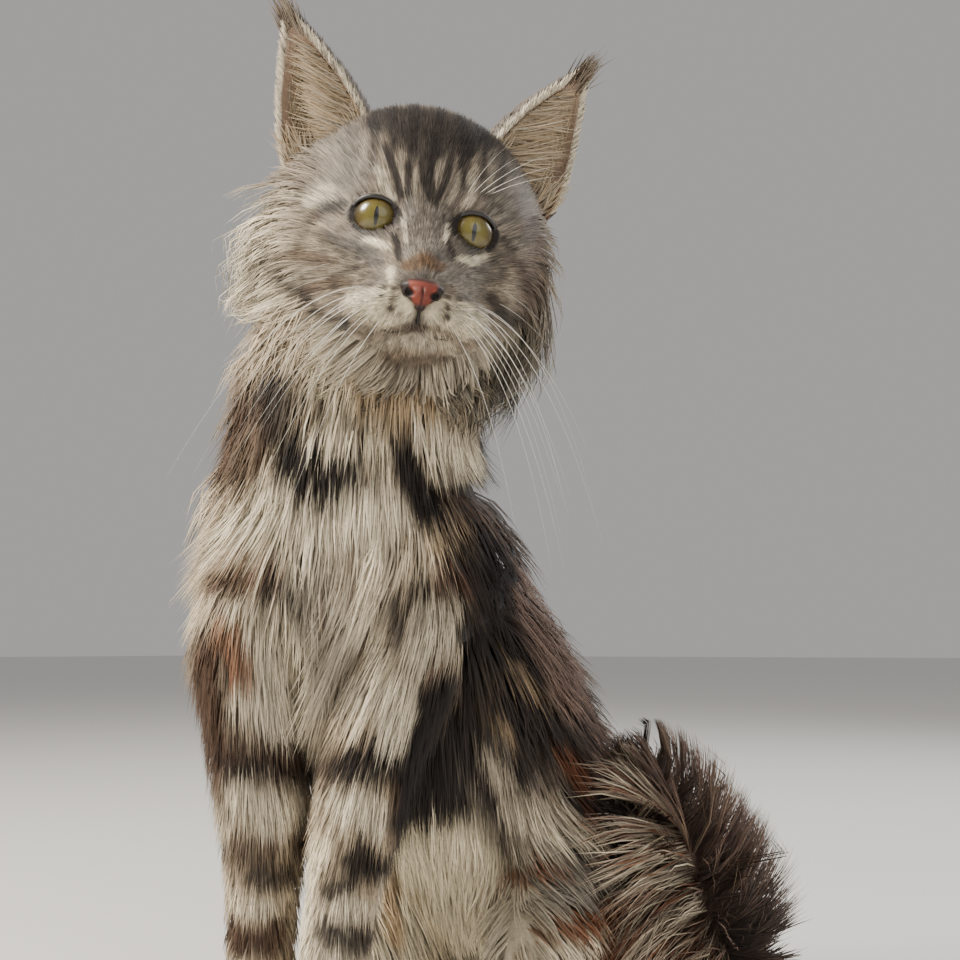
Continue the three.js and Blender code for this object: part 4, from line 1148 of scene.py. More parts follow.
def leg_colours(points):
    """Broken bracelets of the forelegs, a cream inner side and cream feet."""
    x, y, z = points.T
    level = z + 6 * noise(points, 16, 31) + 0.12 * (y + 10) * np.where(x > 22, 1, -1)
    outer = ramp(-6, -20, x + 0.2 * y) * ramp(260, 235, z) * ramp(150, 180, z)
    rear = ramp(22, 42, y - 0.2 * x) * ramp(120, 150, z)
    bands = []
    for height, half in ((192, 11), (148, 8), (116, 8), (84, 6)):
        broken, away = np.clip(0.7 + 0.7 * noise(points, 12, 35), 0, 1), np.abs(level - height) / half
        bands += [
            ("brown", 0.85 * broken * ramp(1.4, 0.5, away)), ("dark", 0.7 * broken * ramp(0.9, 0.2, away))
        ]
    colours = layered(
        "silver",
        ("warm", 0.25 + 0.3 * noise(points, 24, 32)),
        ("pale", 0.6 * ramp(0.0, 0.8, noise(points, 22, 33))),
        ("rust", 0.3 * ramp(0.2, 0.8, noise(points, 18, 34)) * ramp(150, 200, z)),
        *bands,
        ("brown", 0.7 * np.maximum(outer, rear)),
        ("dark", 0.8 * rear + 0.4 * outer * ramp(-0.3, 0.5, noise(points, 12, 36))),
        ("pale", 0.6 * ramp(40, 32, x) * ramp(14, 22, x) * ramp(150, 120, z) * ramp(6, -2, y)),
    )
    return layered(
        marked(colours, points, BODY_MARKS, 8, 0.35, 1.45, FORWARD),
        ("cream", 0.85 * ramp(62, 30, z)),
        ("warm", 0.5 * ramp(40, 80, y)),
        ("brown", 0.8 * ramp(70, 150, y) * (0.7 + 0.6 * noise(points, 16, 37))),
    )


def haunch_colours(points):
    """Swirls of the haunches, cream at the belly, with wisps of the tail's colours."""
    x, y, z = points.T
    bands = np.sin((np.hypot(y - 180, z - 118) + 9 * noise(points, 28, 41)) / 8.5)
    aside, high = as_seen(x - 84, y - 223)[0], z - 118
    turn, far = np.arctan2(high, -aside) * 34, np.hypot(high, aside)
    fan = noise(np.stack([turn, far * 0.12, far * 0], 1), 5, 43)
    where = ramp(20, 40, x) * ramp(130, 105, far) * ramp(40, 60, z)
    colours = layered(
        "brown",
        ("grey", 0.75 * ramp(0.1, 0.8, bands)),
        ("warm", 0.5 * ramp(0.4, 0.9, bands) * ramp(-0.2, 0.6, noise(points, 20, 42))),
        ("dark", 0.8 * ramp(-0.1, -0.8, bands)),
        ("cream", 0.9 * ramp(56, 34, np.abs(x)) * ramp(175, 140, y)),
        ("cream", 0.7 * ramp(135, 108, y) * ramp(150, 120, z)),
        ("silver", 0.8 * where * ramp(0.0, 0.3, fan)),
        ("cream", 0.7 * where * ramp(0.35, 0.6, fan)),
        ("rust", 0.7 * where * ramp(-0.3, -0.6, fan)),
    )
    return marked(colours, points, BODY_MARKS, 8, 0.35, 1.55, FORWARD)


def tail_colours(points):
    """Streaks of the plume: silver, cream and rust over the haunch, dark behind."""
    x, y, z = points.T
    aside = as_seen(x - np.interp(z, (60, 182), (104, 75)), y - np.interp(z, (60, 182), (268, 211)))[0]
    haunch = ramp(2, -16, aside) * ramp(30, 60, z)
    streak, thread = noise(points, 14, 51), noise(points, 6, 52)
    return layered(
        "plume",
        ("dark", 0.45 * (1 - haunch) * ramp(0.3, -0.4, streak)),
        ("warm", 0.5 * (1 - haunch) * ramp(0.35, 0.8, thread)),
        ("silver", 0.75 * haunch * ramp(-0.3, 0.3, 0.6 * streak + thread)),
        ("cream", 0.8 * haunch * ramp(0.25, 0.6, thread)),
        ("rust", (0.1 + 0.75 * haunch) * ramp(-0.1, -0.45, thread)),
        ("dark", 0.6 * haunch * ramp(0.45, 0.8, noise(points, 9, 53))),
    )


PAINTERS = {
    "face": head_colours, "cheeks": head_colours, "neck": body_colours, "chest": body_colours,
    "back": body_colours, "belly": body_colours, "haunches": haunch_colours, "forelegs": leg_colours,
    "feet": leg_colours, "tail": tail_colours,
}
WORK = {}


def build_hides():
    """Makes the skins of the body and the head, and settles the lie of their coat."""
    if WORK:
        return
    forms = forms_of_body()
    points, faces = welded([form.mesh(grow) for form, grow, _, _ in forms], 3.2, 4)
    body = Hide(points, faces, sources_of(forms), 12.0)
    s = body.sources
    front = towards(s, 270, 84) > 0.25
    torso = s["piece"] == "back"
    s["piece"] = np.where(torso & front & (s["t"] > 0.5), "chest", s["piece"])
    s["piece"] = np.where(torso & front & (s["t"] <= 0.5), "belly", s["piece"])
    body.piece = s["piece"][body.nearest]
    body.settle_flow(4)
    heads = forms_of_head()
    points, faces = welded([form.mesh(grow, 36, 40) if isinstance(form, Loft) else form.mesh(grow)
                            for form, grow, _, _ in heads], 1.5, 6)
    points = from_head(sculpt_head(to_head(points)))
    head = Hide(points, faces, sources_of(heads), 7.0)
    s = head.sources
    s["piece"] = np.where(s["length"] > 16, "cheeks", s["piece"])
    head.piece = s["piece"][head.nearest]
    head.settle_flow(6)
    WORK["body"], WORK["head"] = body, head


# Materials

def feed(tree, target, inputs):
    """Sets a node's inputs, or links them to other nodes' outputs."""
    for key, value in inputs.items():
        if isinstance(value, bpy.types.NodeSocket):
            tree.links.new(value, target.inputs[key])
        else:
            target.inputs[key].default_value = value


def node(tree, kind, inputs=(), **settings):
    """A shader node with its settings and inputs."""
    made = tree.nodes.new("ShaderNode" + kind)
    for key, value in settings.items():
        setattr(made, key, value)
    feed(tree, made, dict(inputs))
    return made


def calc(tree, operation, *values):
    """The result of a calculation on numbers or outputs."""
    return node(tree, "Math", enumerate(values), operation=operation).outputs[0]


def spread(tree, value, low, high, first=0.0, last=1.0):
    """A value from first to last, spread from low to high."""
    limits = {"Value": value, "From Min": first, "From Max": last, "To Min": low, "To Max": high}
    return node(tree, "MapRange", limits).outputs[0]


def place_of(tree, kind="Object"):
    """Where on the piece a material is, in the piece's own frame or on its UV map."""
    return node(tree, "TexCoord").outputs[kind]


def grain_of(tree, inputs):
    """Noise from 0 to 1."""
    return node(tree, "TexNoise", inputs).outputs["Fac"]


def blended(tree, share, first, second, **settings):
    """Two colours mixed by a share."""
    return node(tree, "Mix", {0: share, 6: first, 7: second}, data_type="RGBA", **settings).outputs[2]


def carried(tree):
    """The colour that a mesh carries at its corners."""
    return node(tree, "Attribute", attribute_name="coat").outputs["Color"]


def new_material(name, inputs):
    """A material with a Principled shader and what is the same all over it."""
    material = bpy.data.materials.new(name)
    material.use_nodes = True
    tree = material.node_tree
    tree.nodes.clear()
    shader = node(tree, "BsdfPrincipled", inputs)
    tree.links.new(shader.outputs[0], node(tree, "OutputMaterial").inputs[0])
    return material, tree, shader


def raised(tree, shader, height, strength, distance):
    """Raises a surface by the height of its pattern."""
    relief = node(tree, "Bump", {"Strength": strength, "Distance": distance, "Height": height})
    feed(tree, shader, {"Normal": relief.outputs[0]})


def pattern_group(name, numbers, pattern):
    """A node group from a colour and numbers to a pattern, built once."""
    tree = bpy.data.node_groups.get(name)
    if tree is None:
        tree = bpy.data.node_groups.new(name, "ShaderNodeTree")
        tree.interface.new_socket("Colour", in_out="INPUT", socket_type="NodeSocketColor")
        for label in numbers:
            tree.interface.new_socket(label, in_out="INPUT", socket_type="NodeSocketFloat")
        for label, kind in (("Colour", "Color"), ("Roughness", "Float"), ("Height", "Float")):
            tree.interface.new_socket(label, in_out="OUTPUT", socket_type="NodeSocket" + kind)
        inside, outside = tree.nodes.new("NodeGroupInput"), tree.nodes.new("NodeGroupOutput")
        feed(tree, outside, pattern(tree, inside.outputs))
    return tree


def patterned(tree, shader, group, values):
    """Places a pattern in a material with its own values, and gives its height."""
    made = node(tree, "Group", values, node_tree=group).outputs
    feed(tree, shader, {"Base Color": made["Colour"], "Roughness": made["Roughness"]})
    return made["Height"]


def strands(tree, given):
    """Strand by strand variation of a coat's colour and gloss."""
    grain = grain_of(tree, {"Vector": place_of(tree), "Scale": given["Scale"], "Detail": 3.0})
    low, high = calc(tree, "SUBTRACT", 1.0, given["Strength"]), calc(tree, "ADD", 1.0, given["Strength"])
    shade = spread(tree, grain, low, high, 0.3, 0.7)
    colour = node(tree, "VectorMath", {0: given["Colour"], "Scale": shade}, operation="SCALE").outputs[0]
    return {"Colour": colour, "Roughness": spread(tree, grain, 0.5, 0.72), "Height": grain}


def coat_material(name, scale, strength, sheen, relief=0.0):
    """Fur in the colours that its tufts carry."""
    same = {"Sheen Weight": sheen, "Sheen Roughness": 0.5, "Specular IOR Level": 0.3}
    material, tree, shader = new_material(name, same)
    group = pattern_group("Strand variation", ("Scale", "Strength"), strands)
    values = {"Colour": carried(tree), "Scale": scale, "Strength": strength}
    height = patterned(tree, shader, group, values)
    if relief:
        raised(tree, shader, height, relief, 0.0006)
    return material


def finished(piece, material, slot, replaced=()):
    """Gives a piece its material and body, and hides the nodes it stands for; its slot is not used."""
    piece.data.materials.clear()
    piece.data.materials.append(material)
    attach(piece, BODY)
    if replaced:
        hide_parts(*replaced)
    return piece


def shaped(name, points, faces, colours=None, offset=OFFSET):
    """A smooth object from corners in millimetres, with the colours that they carry."""
    piece = mesh_object(name, np.asarray(points, float) * MM + offset, faces)
    piece.data.polygons.foreach_set("use_smooth", [True] * len(faces))
    if colours is not None:
        carry_colours(piece.data, colours)
    return piece


def tube(path, radii, sides=6, closed=False):
    """Corners and faces of a closed tube along a path, with its radii."""
    path = np.asarray(path, float)
    count = len(path)
    radii = np.broadcast_to(np.asarray(radii, float), (count,))
    if closed:
        ahead = unit(np.roll(path, -1, 0) - np.roll(path, 1, 0))
    else:
        ahead = unit(np.gradient(path, axis=0))
    across = np.cross(ahead[0], (0.31, 0.52, 0.79))
    points = []
    for i in range(count):
        across = unit(across - ahead[i] * np.dot(across, ahead[i]))
        up = np.cross(ahead[i], across)
        for k in range(sides):
            angle = 2 * math.pi * k / sides
            points.append(path[i] + (across * math.cos(angle) + up * math.sin(angle)) * radii[i])
    if closed:
        return np.array(points), ring_faces(count, sides, True)
    count -= 1
    return np.array(points), ring_faces(count, sides) + end_faces(count, sides)


# Ears

EAR_SHAPE = ((0, 25, 17), (0.25, 23, 15.5), (0.5, 18, 12), (0.75, 10.5, 7.5), (0.92, 4.6, 3.6), (1, 1.6, 1.4))
EAR_HALF_TURN = 116
EAR_SHEET = 2.0


class Ear:
    """One ear as a cupped sheet, open to the front, in the head's own frame."""

    def __init__(self, side):
        self.side = side
        self.base = np.array((side * EAR_BASE[0], EAR_BASE[1], EAR_BASE[2]), float)
        self.tip = np.array((side * EAR_TIP[0], EAR_TIP[1], EAR_TIP[2]), float)
        self.along = unit(self.tip - self.base)
        outward = np.array((side * 0.86, 0.3, -0.4))
        self.outward = unit(outward - self.along * np.dot(outward, self.along))
        self.back = np.cross(self.along, self.outward) * side

    def place(self, t, angle, sink=0.0):
        """Points at t up the ear and an outward angle from the middle of its back."""
        t, angle = np.broadcast_arrays(np.asarray(t, float).ravel(), np.radians(np.ravel(angle)))
        table = np.array(EAR_SHAPE)
        wide = np.maximum(np.interp(t, table[:, 0], table[:, 1]) - sink, 0.35)
        deep = np.maximum(np.interp(t, table[:, 0], table[:, 2]) - sink, 0.35)
        centre = self.base + t[:, None] * (self.tip - self.base)
        centre = centre + self.back * (2.2 * np.sin(np.pi * t))[:, None]
        sides = self.outward * (np.sin(angle) * wide)[:, None] + self.back * (np.cos(angle) * deep)[:, None]
        return centre + sides

    def sheet(self, rows=26, columns=30):
        """Corners and faces of the closed sheet, with a mark for its inner side."""
        t = np.linspace(-0.12, 1, rows + 1)
        angle = np.linspace(-EAR_HALF_TURN, EAR_HALF_TURN, columns + 1)
        grid_t, grid_angle = np.meshgrid(t, angle, indexing="ij")
        rim = ramp(EAR_HALF_TURN, EAR_HALF_TURN - 22, np.abs(grid_angle.ravel())) * ramp(
            1.0, 0.9, grid_t.ravel()
        )
        outer = self.place(grid_t, grid_angle)
        inner = self.place(grid_t, grid_angle, 0.5 + (EAR_SHEET - 0.5) * rim)
        points = np.vstack([outer, inner])
        count, wide = len(outer), columns + 1
        faces = []
        for i, j in np.ndindex(rows, columns):
            a = i * wide + j
            b, c, d = a + 1, a + 1 + wide, a + wide
            faces += [(a, b, c, d), (count + a, count + d, count + c, count + b)]
        for a in range(0, rows * wide, wide):
            b, c, d = a + columns, a + columns + wide, a + wide
            faces += [(a, d, count + d, count + a), (b, count + b, count + c, c)]
        for a in range(columns):
            b, c, d = a + 1, a + 1 + rows * wide, a + rows * wide
            faces += [(a, count + a, count + b, b), (d, c, count + c, count + d)]
        if self.side > 0:
            faces = [face[::-1] for face in faces]
        return points, faces, np.arange(len(points)) >= count


def ear_colours(points, ear, inner):
    """Pink-beige inside, grey outside, with a pale rim and a dark tip."""
    t = (points - ear.base) @ ear.along / np.linalg.norm(ear.tip - ear.base)
    outside = layered(
        "grey", ("brown", 0.35 + 0.3 * noise(points, 16, 61)), ("dark", 0.7 * ramp(0.7, 0.95, t))
    )
    inside = mix(paint(196, 170, 148), paint(168, 108, 88), ramp(0.32, 0.1, t))
    return np.where(inner[:, None], inside, outside)


EARS = {side: Ear(side) for _, side in SIDES}
FLESH_NODES = (
    "head", "ear_left", "ear_right", "neck", "torso", "forepaw_left", "forepaw_right", "foreleg_left",
    "foreleg_right", "hindpaw_left", "hindpaw_right", "hindfoot_left", "hindfoot_right", "haunch_left",
    "haunch_right", "tail_root", "tail_middle", "tail_end",
)


def build_skin():
    """Body, head and ears in one skin that stands for the cat's flesh nodes."""
    build_hides()
    body, head = WORK["body"], WORK["head"]
    resting = body.points.copy()
    resting[:, 2] = np.maximum(resting[:, 2], 0.3)
    meshes, colours = [(resting, body.faces), (head.points, head.faces)], []
    tints = np.zeros((len(body.points), 3))
    for piece in np.unique(body.piece):
        chosen = body.piece == piece
        tints[chosen] = PAINTERS[piece](body.points[chosen])
    # The body's skin carries the coat's colours darkened by a fifth: painted shade deep under the coat
    colours.append(tints * 0.8)
    face = head_colours(head.points)
    level = np.minimum(lid_level(to_head(head.points), LEFT), lid_level(to_head(head.points), RIGHT))
    near_eye = (to_head(head.points)[:, 1] < -34) & (level < 1.08)
    # The face's skin is likewise darkened as painted shade under the coat, with dark skin round the eyes
    colours.append(np.where(near_eye[:, None], np.array(paint(30, 22, 20)), face * 0.75))
    for ear in EARS.values():
        points, faces, inner = ear.sheet()
        meshes.append((from_head(points), faces))
        colours.append(ear_colours(points, ear, inner))
    points, faces = joined(meshes)
    skin = shaped("skin", points, faces, np.vstack(colours))
    material = coat_material("Skin under the coat", 700.0, 0.18, 0.1, 0.5)
    return finished(skin, material, "body_coat", FLESH_NODES)


# Coat pieces

class Cover:
    """How one piece of the coat is grown."""

    def __init__(
        self, hide, part, count, locks, shares, width, clump, slot, seed, streak=0.2, banded=0.45, **lay
    ):
        self.hide, self.part, self.count, self.locks, self.shares = hide, part, count, locks, shares
        self.width, self.clump, self.slot, self.seed, self.lay = width, clump, slot, seed, lay
        self.streak, self.banded = streak, banded


THREE, TWO, ONE = (0, 0.34, 0.7, 1), (0, 0.52, 1), (0, 1)
COVERS = {
    "coat_face": Cover("head", "face", 42000, 9000, ONE, 0.5, 0.2, "face_coat", 101, 0.3, 0.6, clear=0.25),
    "coat_cheeks": Cover("head", "cheeks", 10500, 1400, THREE, 0.7, 0.4, "face_coat", 111, keep_way=0.8),
    "coat_neck": Cover("body", "neck", 10500, 1300, THREE, 0.9, 0.4, "body_coat", 121),
    "coat_chest": Cover("body", "chest", 10800, 1300, THREE, 0.9, 0.45, "body_coat", 131),
    "coat_belly": Cover("body", "belly", 3500, 600, THREE, 1.2, 0.4, "body_coat", 141),
    "coat_back": Cover("body", "back", 9500, 1700, THREE, 1.3, 0.35, "body_coat", 151),
    "coat_haunches": Cover("body", "haunches", 9500, 1700, THREE, 1.15, 0.35, "body_coat", 161),
    "coat_forelegs": Cover("body", "forelegs", 16500, 3400, TWO, 0.8, 0.3, "leg_coat", 171),
    "coat_feet": Cover("body", "feet", 16000, 6000, ONE, 1.0, 0.15, "leg_coat", 181, clear=0.25, floor=0.8),
    "coat_tail": Cover("body", "tail", 11200, 1500, THREE, 0.8, 0.15, "tail_coat", 191, 0.25, 0.25,
                       keep_way=0.95, gravity=0.03),
}
# Colour scale of a tuft from root to tip: partly the darker base of each hair, partly painted shade deep in the
# coat and painted light at the tips
TIP_TONE_AND_LIGHT = 1.1
ROOT_TONE_AND_SHADE = 0.7


def clear_of_face(points):
    """Places where the face carries fur: not on the eyes, the lids' rims or the nose."""
    p = to_head(points)
    keep = np.ones(len(p))
    for _, side in SIDES:
        near = np.linalg.norm(p - EYE_SPOTS[side], axis=1) < EYE_RADIUS + 5
        keep *= ~(near & (p[:, 1] < -34) & (lid_level(p, side) < 1.06))
    nose = (np.abs(p[:, 0]) < 7.6) & (p[:, 2] > -41) & (p[:, 2] < -29.4) & (p[:, 1] < -72)
    return keep * ~nose


def clear_of_strap(points):
    """Places where the body carries fur: not under the open stretches of the harness."""
    return by_strap(points) < 0.75


def within_plume(paths):
    """Tail hair drawn in so that the plume ends in a round outline."""
    x, y, z = np.moveaxis(paths, -1, 0)
    x0, y0 = np.interp(z, (60, 182), (100, 76)), np.interp(z, (60, 182), (258, 211))
    aside, away = as_seen(x - x0, y - y0)
    wide = np.interp(z, (20, 130), (28, 72))
    high = np.interp(aside, (-30, 5), (80, 100))
    behind = np.interp(z, (60, 110), (116, 70))
    level = np.sqrt(
        np.maximum(aside / wide, 0) ** 2 + np.maximum((z - 105) / high, 0) ** 2
        + np.maximum(away / behind, 0) ** 2
    )
    root, tip = level[:, 0], level[:, -1]
    share = np.where(tip > 1, (1 - root) / np.maximum(tip - root, 1e-6), 1.0)
    share = np.clip(share, 0.2, 1)[:, None, None]
    return paths[:, :1] + (paths - paths[:, :1]) * share


def grow(name):
    """Grows one piece of the coat."""
    build_hides()
    cover = COVERS[name]
    hide = WORK[cover.hide]
    keep = clear_of_face if cover.hide == "head" else clear_of_strap
    settings = bpy.context.scene.cat_coat
    count = int(cover.count * settings.fullness)
    spots, paths = combed(
        hide, cover.part, count, cover.locks, cover.seed, cover.clump, cover.shares, keep, **cover.lay
    )
    if cover.part == "tail":
        paths = within_plume(paths)
    vary = np.random.default_rng(cover.seed + 7)
    rings = len(cover.shares) - 1
    painter = PAINTERS[cover.part]
    uneven = cover.streak * (1.1 if rings == 1 else 0.6)
    lock_tone = np.random.default_rng(cover.seed + 8).normal(1, uneven, (cover.locks, 1))
    strand = np.clip(vary.normal(1.0, cover.streak, (count, 1)) * lock_tone[spots["guide"]], 0.5, 1.6)
    shown = (0.8 - cover.shares[-2]) / (1 - cover.shares[-2])
    seen = paths[:, -2] + (paths[:, -1] - paths[:, -2]) * shown
    slide = (paths[:, -1] - paths[:, 0]) * vary.normal(0, 0.06, (count, 1))
    ways = (paths - seen[:, None]) * cover.banded
    colours = np.stack([painter(seen + slide + ways[:, k]) * strand for k in range(rings + 1)], 1)
    shares = np.asarray(cover.shares)[None, :, None]
    # Painted shade at the roots of the tufts and painted light at their tips, over the darker base of each hair
    colours = colours * (ROOT_TONE_AND_SHADE + (TIP_TONE_AND_LIGHT - ROOT_TONE_AND_SHADE) * ramp(0, 0.8, shares))
    size = vary.uniform(0.75, 1.25, count) * np.clip(spots["length"] / hide.values["length"].mean(), 0.6, 1.2)
    width = cover.width * (size if rings > 1 else vary.uniform(0.8, 1.2, count))
    thick = np.full(count, cover.width * 0.4)
    piece = spikes(name, paths, spots["out"], width, thick, colours, hide.unwrap(spots))
    return covered(name, piece, cover.slot, 0.16, settings.sheen)


def direct_tufts(name, roots, ways, lengths, out, sag, widths, colours, slot):
    """Tufts set one by one: from a root along a way, sagging in a direction."""
    vary = np.random.default_rng(202)
    at = np.asarray(TWO)[None, :, None]
    paths = roots[:, None] + ways[:, None] * (lengths[:, None] * np.asarray(TWO)[None])[:, :, None]
    paths = paths + sag[:, None] * at**2 * lengths[:, None, None]
    paths = paths + vary.normal(0, 1, (len(roots), 1, 3)) * at**1.5 * (0.06 * lengths)[:, None, None]
    # Painted shade at the roots of the ear's tufts, lighter towards their tips
    shade = np.stack([colours * (0.7 + 0.4 * share) for share in TWO], 1)
    place = np.stack(
        [np.linspace(0.05, 0.95, len(roots)), np.mod(np.arange(len(roots)) * 0.618, 0.9) + 0.05], 1
    )
    return covered(name, spikes(name, paths, out, widths, widths * 0.35, shade, place), slot, 0.14, 0.04)


def covered(name, piece, slot, strength, sheen):
    """A piece of the coat with its material."""
    return finished(piece, coat_material(name.replace("_", " ").capitalize(), 500.0, strength, sheen), slot)


def grow_ears():
    """Short hair on the backs and rims, long hair across the cups and tufts at the tips."""
    vary = np.random.default_rng(201)
    tufts = []

    def add(root, way, length, out, width, colour, sag=0.0):
        each = np.zeros_like(root)
        tufts.append((root, unit(way), each[:, 0] + length, unit(out + each), each + sag, width, colour))

    for ear in EARS.values():
        # Backs: short, lying towards the tip
        n = 3000
        t, angle = vary.beta(1.0, 1.25, n) * 0.98, vary.uniform(-EAR_HALF_TURN, EAR_HALF_TURN, n)
        root = ear.place(t, angle, 0.2)
        out = unit(root - ear.place(t, angle, 6.0))
        colour = layered(
            ear_colours(root, ear, np.zeros(n, bool)), ("pale", 0.8 * ramp(104, 114, np.abs(angle)))
        )
        add(
            root, ear.along + out * 0.25, 6.5, out, vary.uniform(0.9, 1.5, n),
            colour * vary.normal(1, 0.12, (n, 1)),
        )
        # Rims: pale fringe along both edges
        n = 900
        edge = np.where(vary.random(n) < 0.5, -1, 1)
        t = vary.uniform(0.02, 0.96, n)
        root = ear.place(t, edge * (EAR_HALF_TURN - vary.uniform(0, 10, n)), 0.4)
        way = ear.along * 0.9 + ear.outward * (edge * 0.25)[:, None] - ear.back * 0.25
        length, width = vary.uniform(2, 6, n), vary.uniform(0.35, 0.6, n)
        add(root, way, length, -ear.back, width, COLOURS["pale"] * vary.normal(1, 0.12, (n, 1)))
        # Cup: long cream hair from the inner edge across the opening
        n = 1300
        t = vary.beta(1.1, 1.8, n) * 0.84
        over = vary.uniform(0, 1, n) ** 1.2
        root = ear.place(t, -EAR_HALF_TURN + 190 * over, 2.0)
        up = vary.uniform(0.15, 0.75, n)[:, None]
        way = ear.outward * np.where(over < 0.62, 0.8, -0.5)[:, None] + ear.along * up
        way = way - ear.back * vary.uniform(0.1, 0.5, n)[:, None]
        length = (34 * (1 - t) + 7) * vary.uniform(0.6, 1.1, n) * (1 - 0.65 * over)
        width, colour = vary.uniform(0.4, 0.8, n), layered("silver", ("warm", vary.uniform(0, 1, n)))
        add(root, way, length, -ear.back, width, colour * vary.normal(0.9, 0.15, (n, 1)), ear.along * 0.12)
        # Base of the cup: hair rising out of the head before it
        n = 500
        t = vary.uniform(-0.05, 0.12, n)
        root = ear.place(t, vary.uniform(-EAR_HALF_TURN, EAR_HALF_TURN, n), vary.uniform(2, 12, n))
        way = ear.along - ear.back * 0.35 + ear.outward * vary.uniform(-0.25, 0.5, n)[:, None]
        length, width = vary.uniform(8, 20, n), vary.uniform(0.5, 0.9, n)
        add(root, way, length, -ear.back, width, layered("warm", ("silver", vary.uniform(0, 1, n))))
        # Tip: a pointed dark tuft
        n = 130
        t = vary.uniform(0.86, 1.0, n)
        root = ear.place(t, vary.uniform(-180, 180, n), 0.4)
        way = (
            ear.along + ear.outward * vary.normal(0.06, 0.1, (n, 1)) + ear.back * vary.normal(0.06, 0.1, (n, 1))
        )
        length, width = vary.uniform(13, 24, n), vary.uniform(0.3, 0.55, n)
        colour = layered("brown", ("silver", vary.uniform(0, 0.6, n)))
        add(root, way, length, -ear.back, width, colour, ear.outward * 0.08)
    roots, ways, lengths, outs, sags, widths, colours = (np.concatenate(some) for some in zip(*tufts))
    turn = HEAD_SPIN.T
    return direct_tufts(
        "coat_ears", from_head(roots), ways @ turn, lengths, outs @ turn, sags @ turn, widths, colours,
        "ear_coat"
    )


# Eyes

IRIS_RADIUS = 0.0108


def eye_mesh(name, side):
    """An eyeball with a raised cornea, made round its own axis; local Z looks forward."""
    rings, sides = 28, 48
    profile = []
    for i in range(1, rings):
        angle = math.pi * i / rings
        bulge = 1.0 + 0.05 * math.exp(-((angle / 0.75) ** 4))
        radius = EYE_RADIUS * bulge
        profile.append((radius * math.sin(angle), radius * math.cos(angle)))
    points = [(r * math.cos(2 * math.pi * k / sides), r * math.sin(2 * math.pi * k / sides), z)
              for r, z in profile for k in range(sides)]
    points += [(0, 0, EYE_RADIUS * 1.05), (0, 0, -EYE_RADIUS)]
    faces = []
    for i in range(len(profile) - 1):
        for k in range(sides):
            n = (k + 1) % sides
            faces.append((i * sides + k, (i + 1) * sides + k, (i + 1) * sides + n, i * sides + n))
    top, low, last = len(points) - 2, len(points) - 1, (len(profile) - 1) * sides
    for k in range(sides):
        n = (k + 1) % sides
        faces.append((top, k, n))
        faces.append((low, last + n, last + k))
    piece = shaped(name, points, faces, offset=0)
    ahead = unit((side * 0.05, -1.0, 0.02)) @ HEAD_SPIN.T
    up = np.array((0, 0, 1.0)) @ HEAD_SPIN.T
    right = unit(np.cross(up, ahead))
    up = np.cross(ahead, right)
    place = Matrix(np.column_stack([right, up, ahead]).tolist()).to_4x4()
    place.translation = Vector(packed(from_head(EYE_SPOTS[side])[None])[0])
    piece.matrix_world = place
    return piece


def eye_material():
    """A green to amber iris with fine fibres, a slit pupil and a wet cornea."""
    settings = bpy.context.scene.cat_eyes
    same = {"Roughness": 0.25, "Coat Weight": 1.0, "Coat Roughness": 0.03, "Coat IOR": 1.38}
    material, tree, shader = new_material("Iris under a wet cornea", same)

    def run(operation, *values):
        return calc(tree, operation, *values)

    split = node(tree, "SeparateXYZ", {0: place_of(tree)}).outputs
    x, y = split["X"], split["Y"]
    radius = run("SQRT", run("ADD", run("MULTIPLY", x, x), run("MULTIPLY", y, y)))
    share, angle = run("DIVIDE", radius, IRIS_RADIUS), run("ARCTAN2", y, x)
    around = [run("MULTIPLY", run(way, angle), 14.0) for way in ("COSINE", "SINE")]
    threads = node(tree, "CombineXYZ", enumerate((*around, run("MULTIPLY", share, 1.6)))).outputs[0]
    fibre = grain_of(tree, {"Scale": 1.6, "Detail": 4.0, "Vector": threads})
    waved = run("ADD", share, run("MULTIPLY", run("SUBTRACT", fibre, 0.5), 0.22))
    iris = node(tree, "ValToRGB", {0: waved})
    inner, outer = tuple(settings.inner), tuple(settings.outer)
    stops = iris.color_ramp.elements
    stops[0].position, stops[0].color = 0.0, (*inner, 1)
    stops[1].position, stops[1].color = 1.0, (*paint(12, 9, 7), 1)
    for position, colour in ((0.42, inner), (0.72, outer), (0.86, tuple(0.45 * c for c in outer))):
        stops.new(position).color = (*colour, 1)
    streaks = spread(tree, fibre, 0.55, 1.35, 0.35, 0.65)
    shade = blended(tree, 0.55, iris.outputs[0], streaks, blend_type="MULTIPLY")
    high = run("DIVIDE", y, settings.pupil_height / 2)
    reach = run("SQRT", run("MAXIMUM", run("SUBTRACT", 1.0, run("MULTIPLY", high, high)), 0.0))
    slit = run("SUBTRACT", run("MULTIPLY", reach, settings.pupil_width / 2), run("ABSOLUTE", x))
    pupil = spread(tree, slit, 0.0, 1.0, -0.00012, 0.00018)
    feed(tree, shader, {"Base Color": blended(tree, pupil, shade, (0.002, 0.002, 0.002, 1))})
    raised(tree, shader, fibre, 0.15, 0.0004)
    return material


def leather_material(name, roughness, coat):
    """Moist bare skin in carried colours, with a fine pebbled relief."""
    same = {"Roughness": roughness, "Coat Weight": coat, "Coat Roughness": 0.3}
    material, tree, shader = new_material(name, same)
    feed(tree, shader, {"Base Color": carried(tree)})
    cells = {"Scale": 2600.0, "Vector": place_of(tree)}
    pebbles = node(tree, "TexVoronoi", cells, feature="DISTANCE_TO_EDGE").outputs["Distance"]
    raised(tree, shader, pebbles, 0.5, 0.00025)
    return material


def bare_skin(name, meshes, colour, material):
    """A piece of dark moist skin in one colour."""
    points, faces = joined(meshes)
    return finished(shaped(name, points, faces, np.tile(colour, (len(points), 1))), material, "nose_leather")


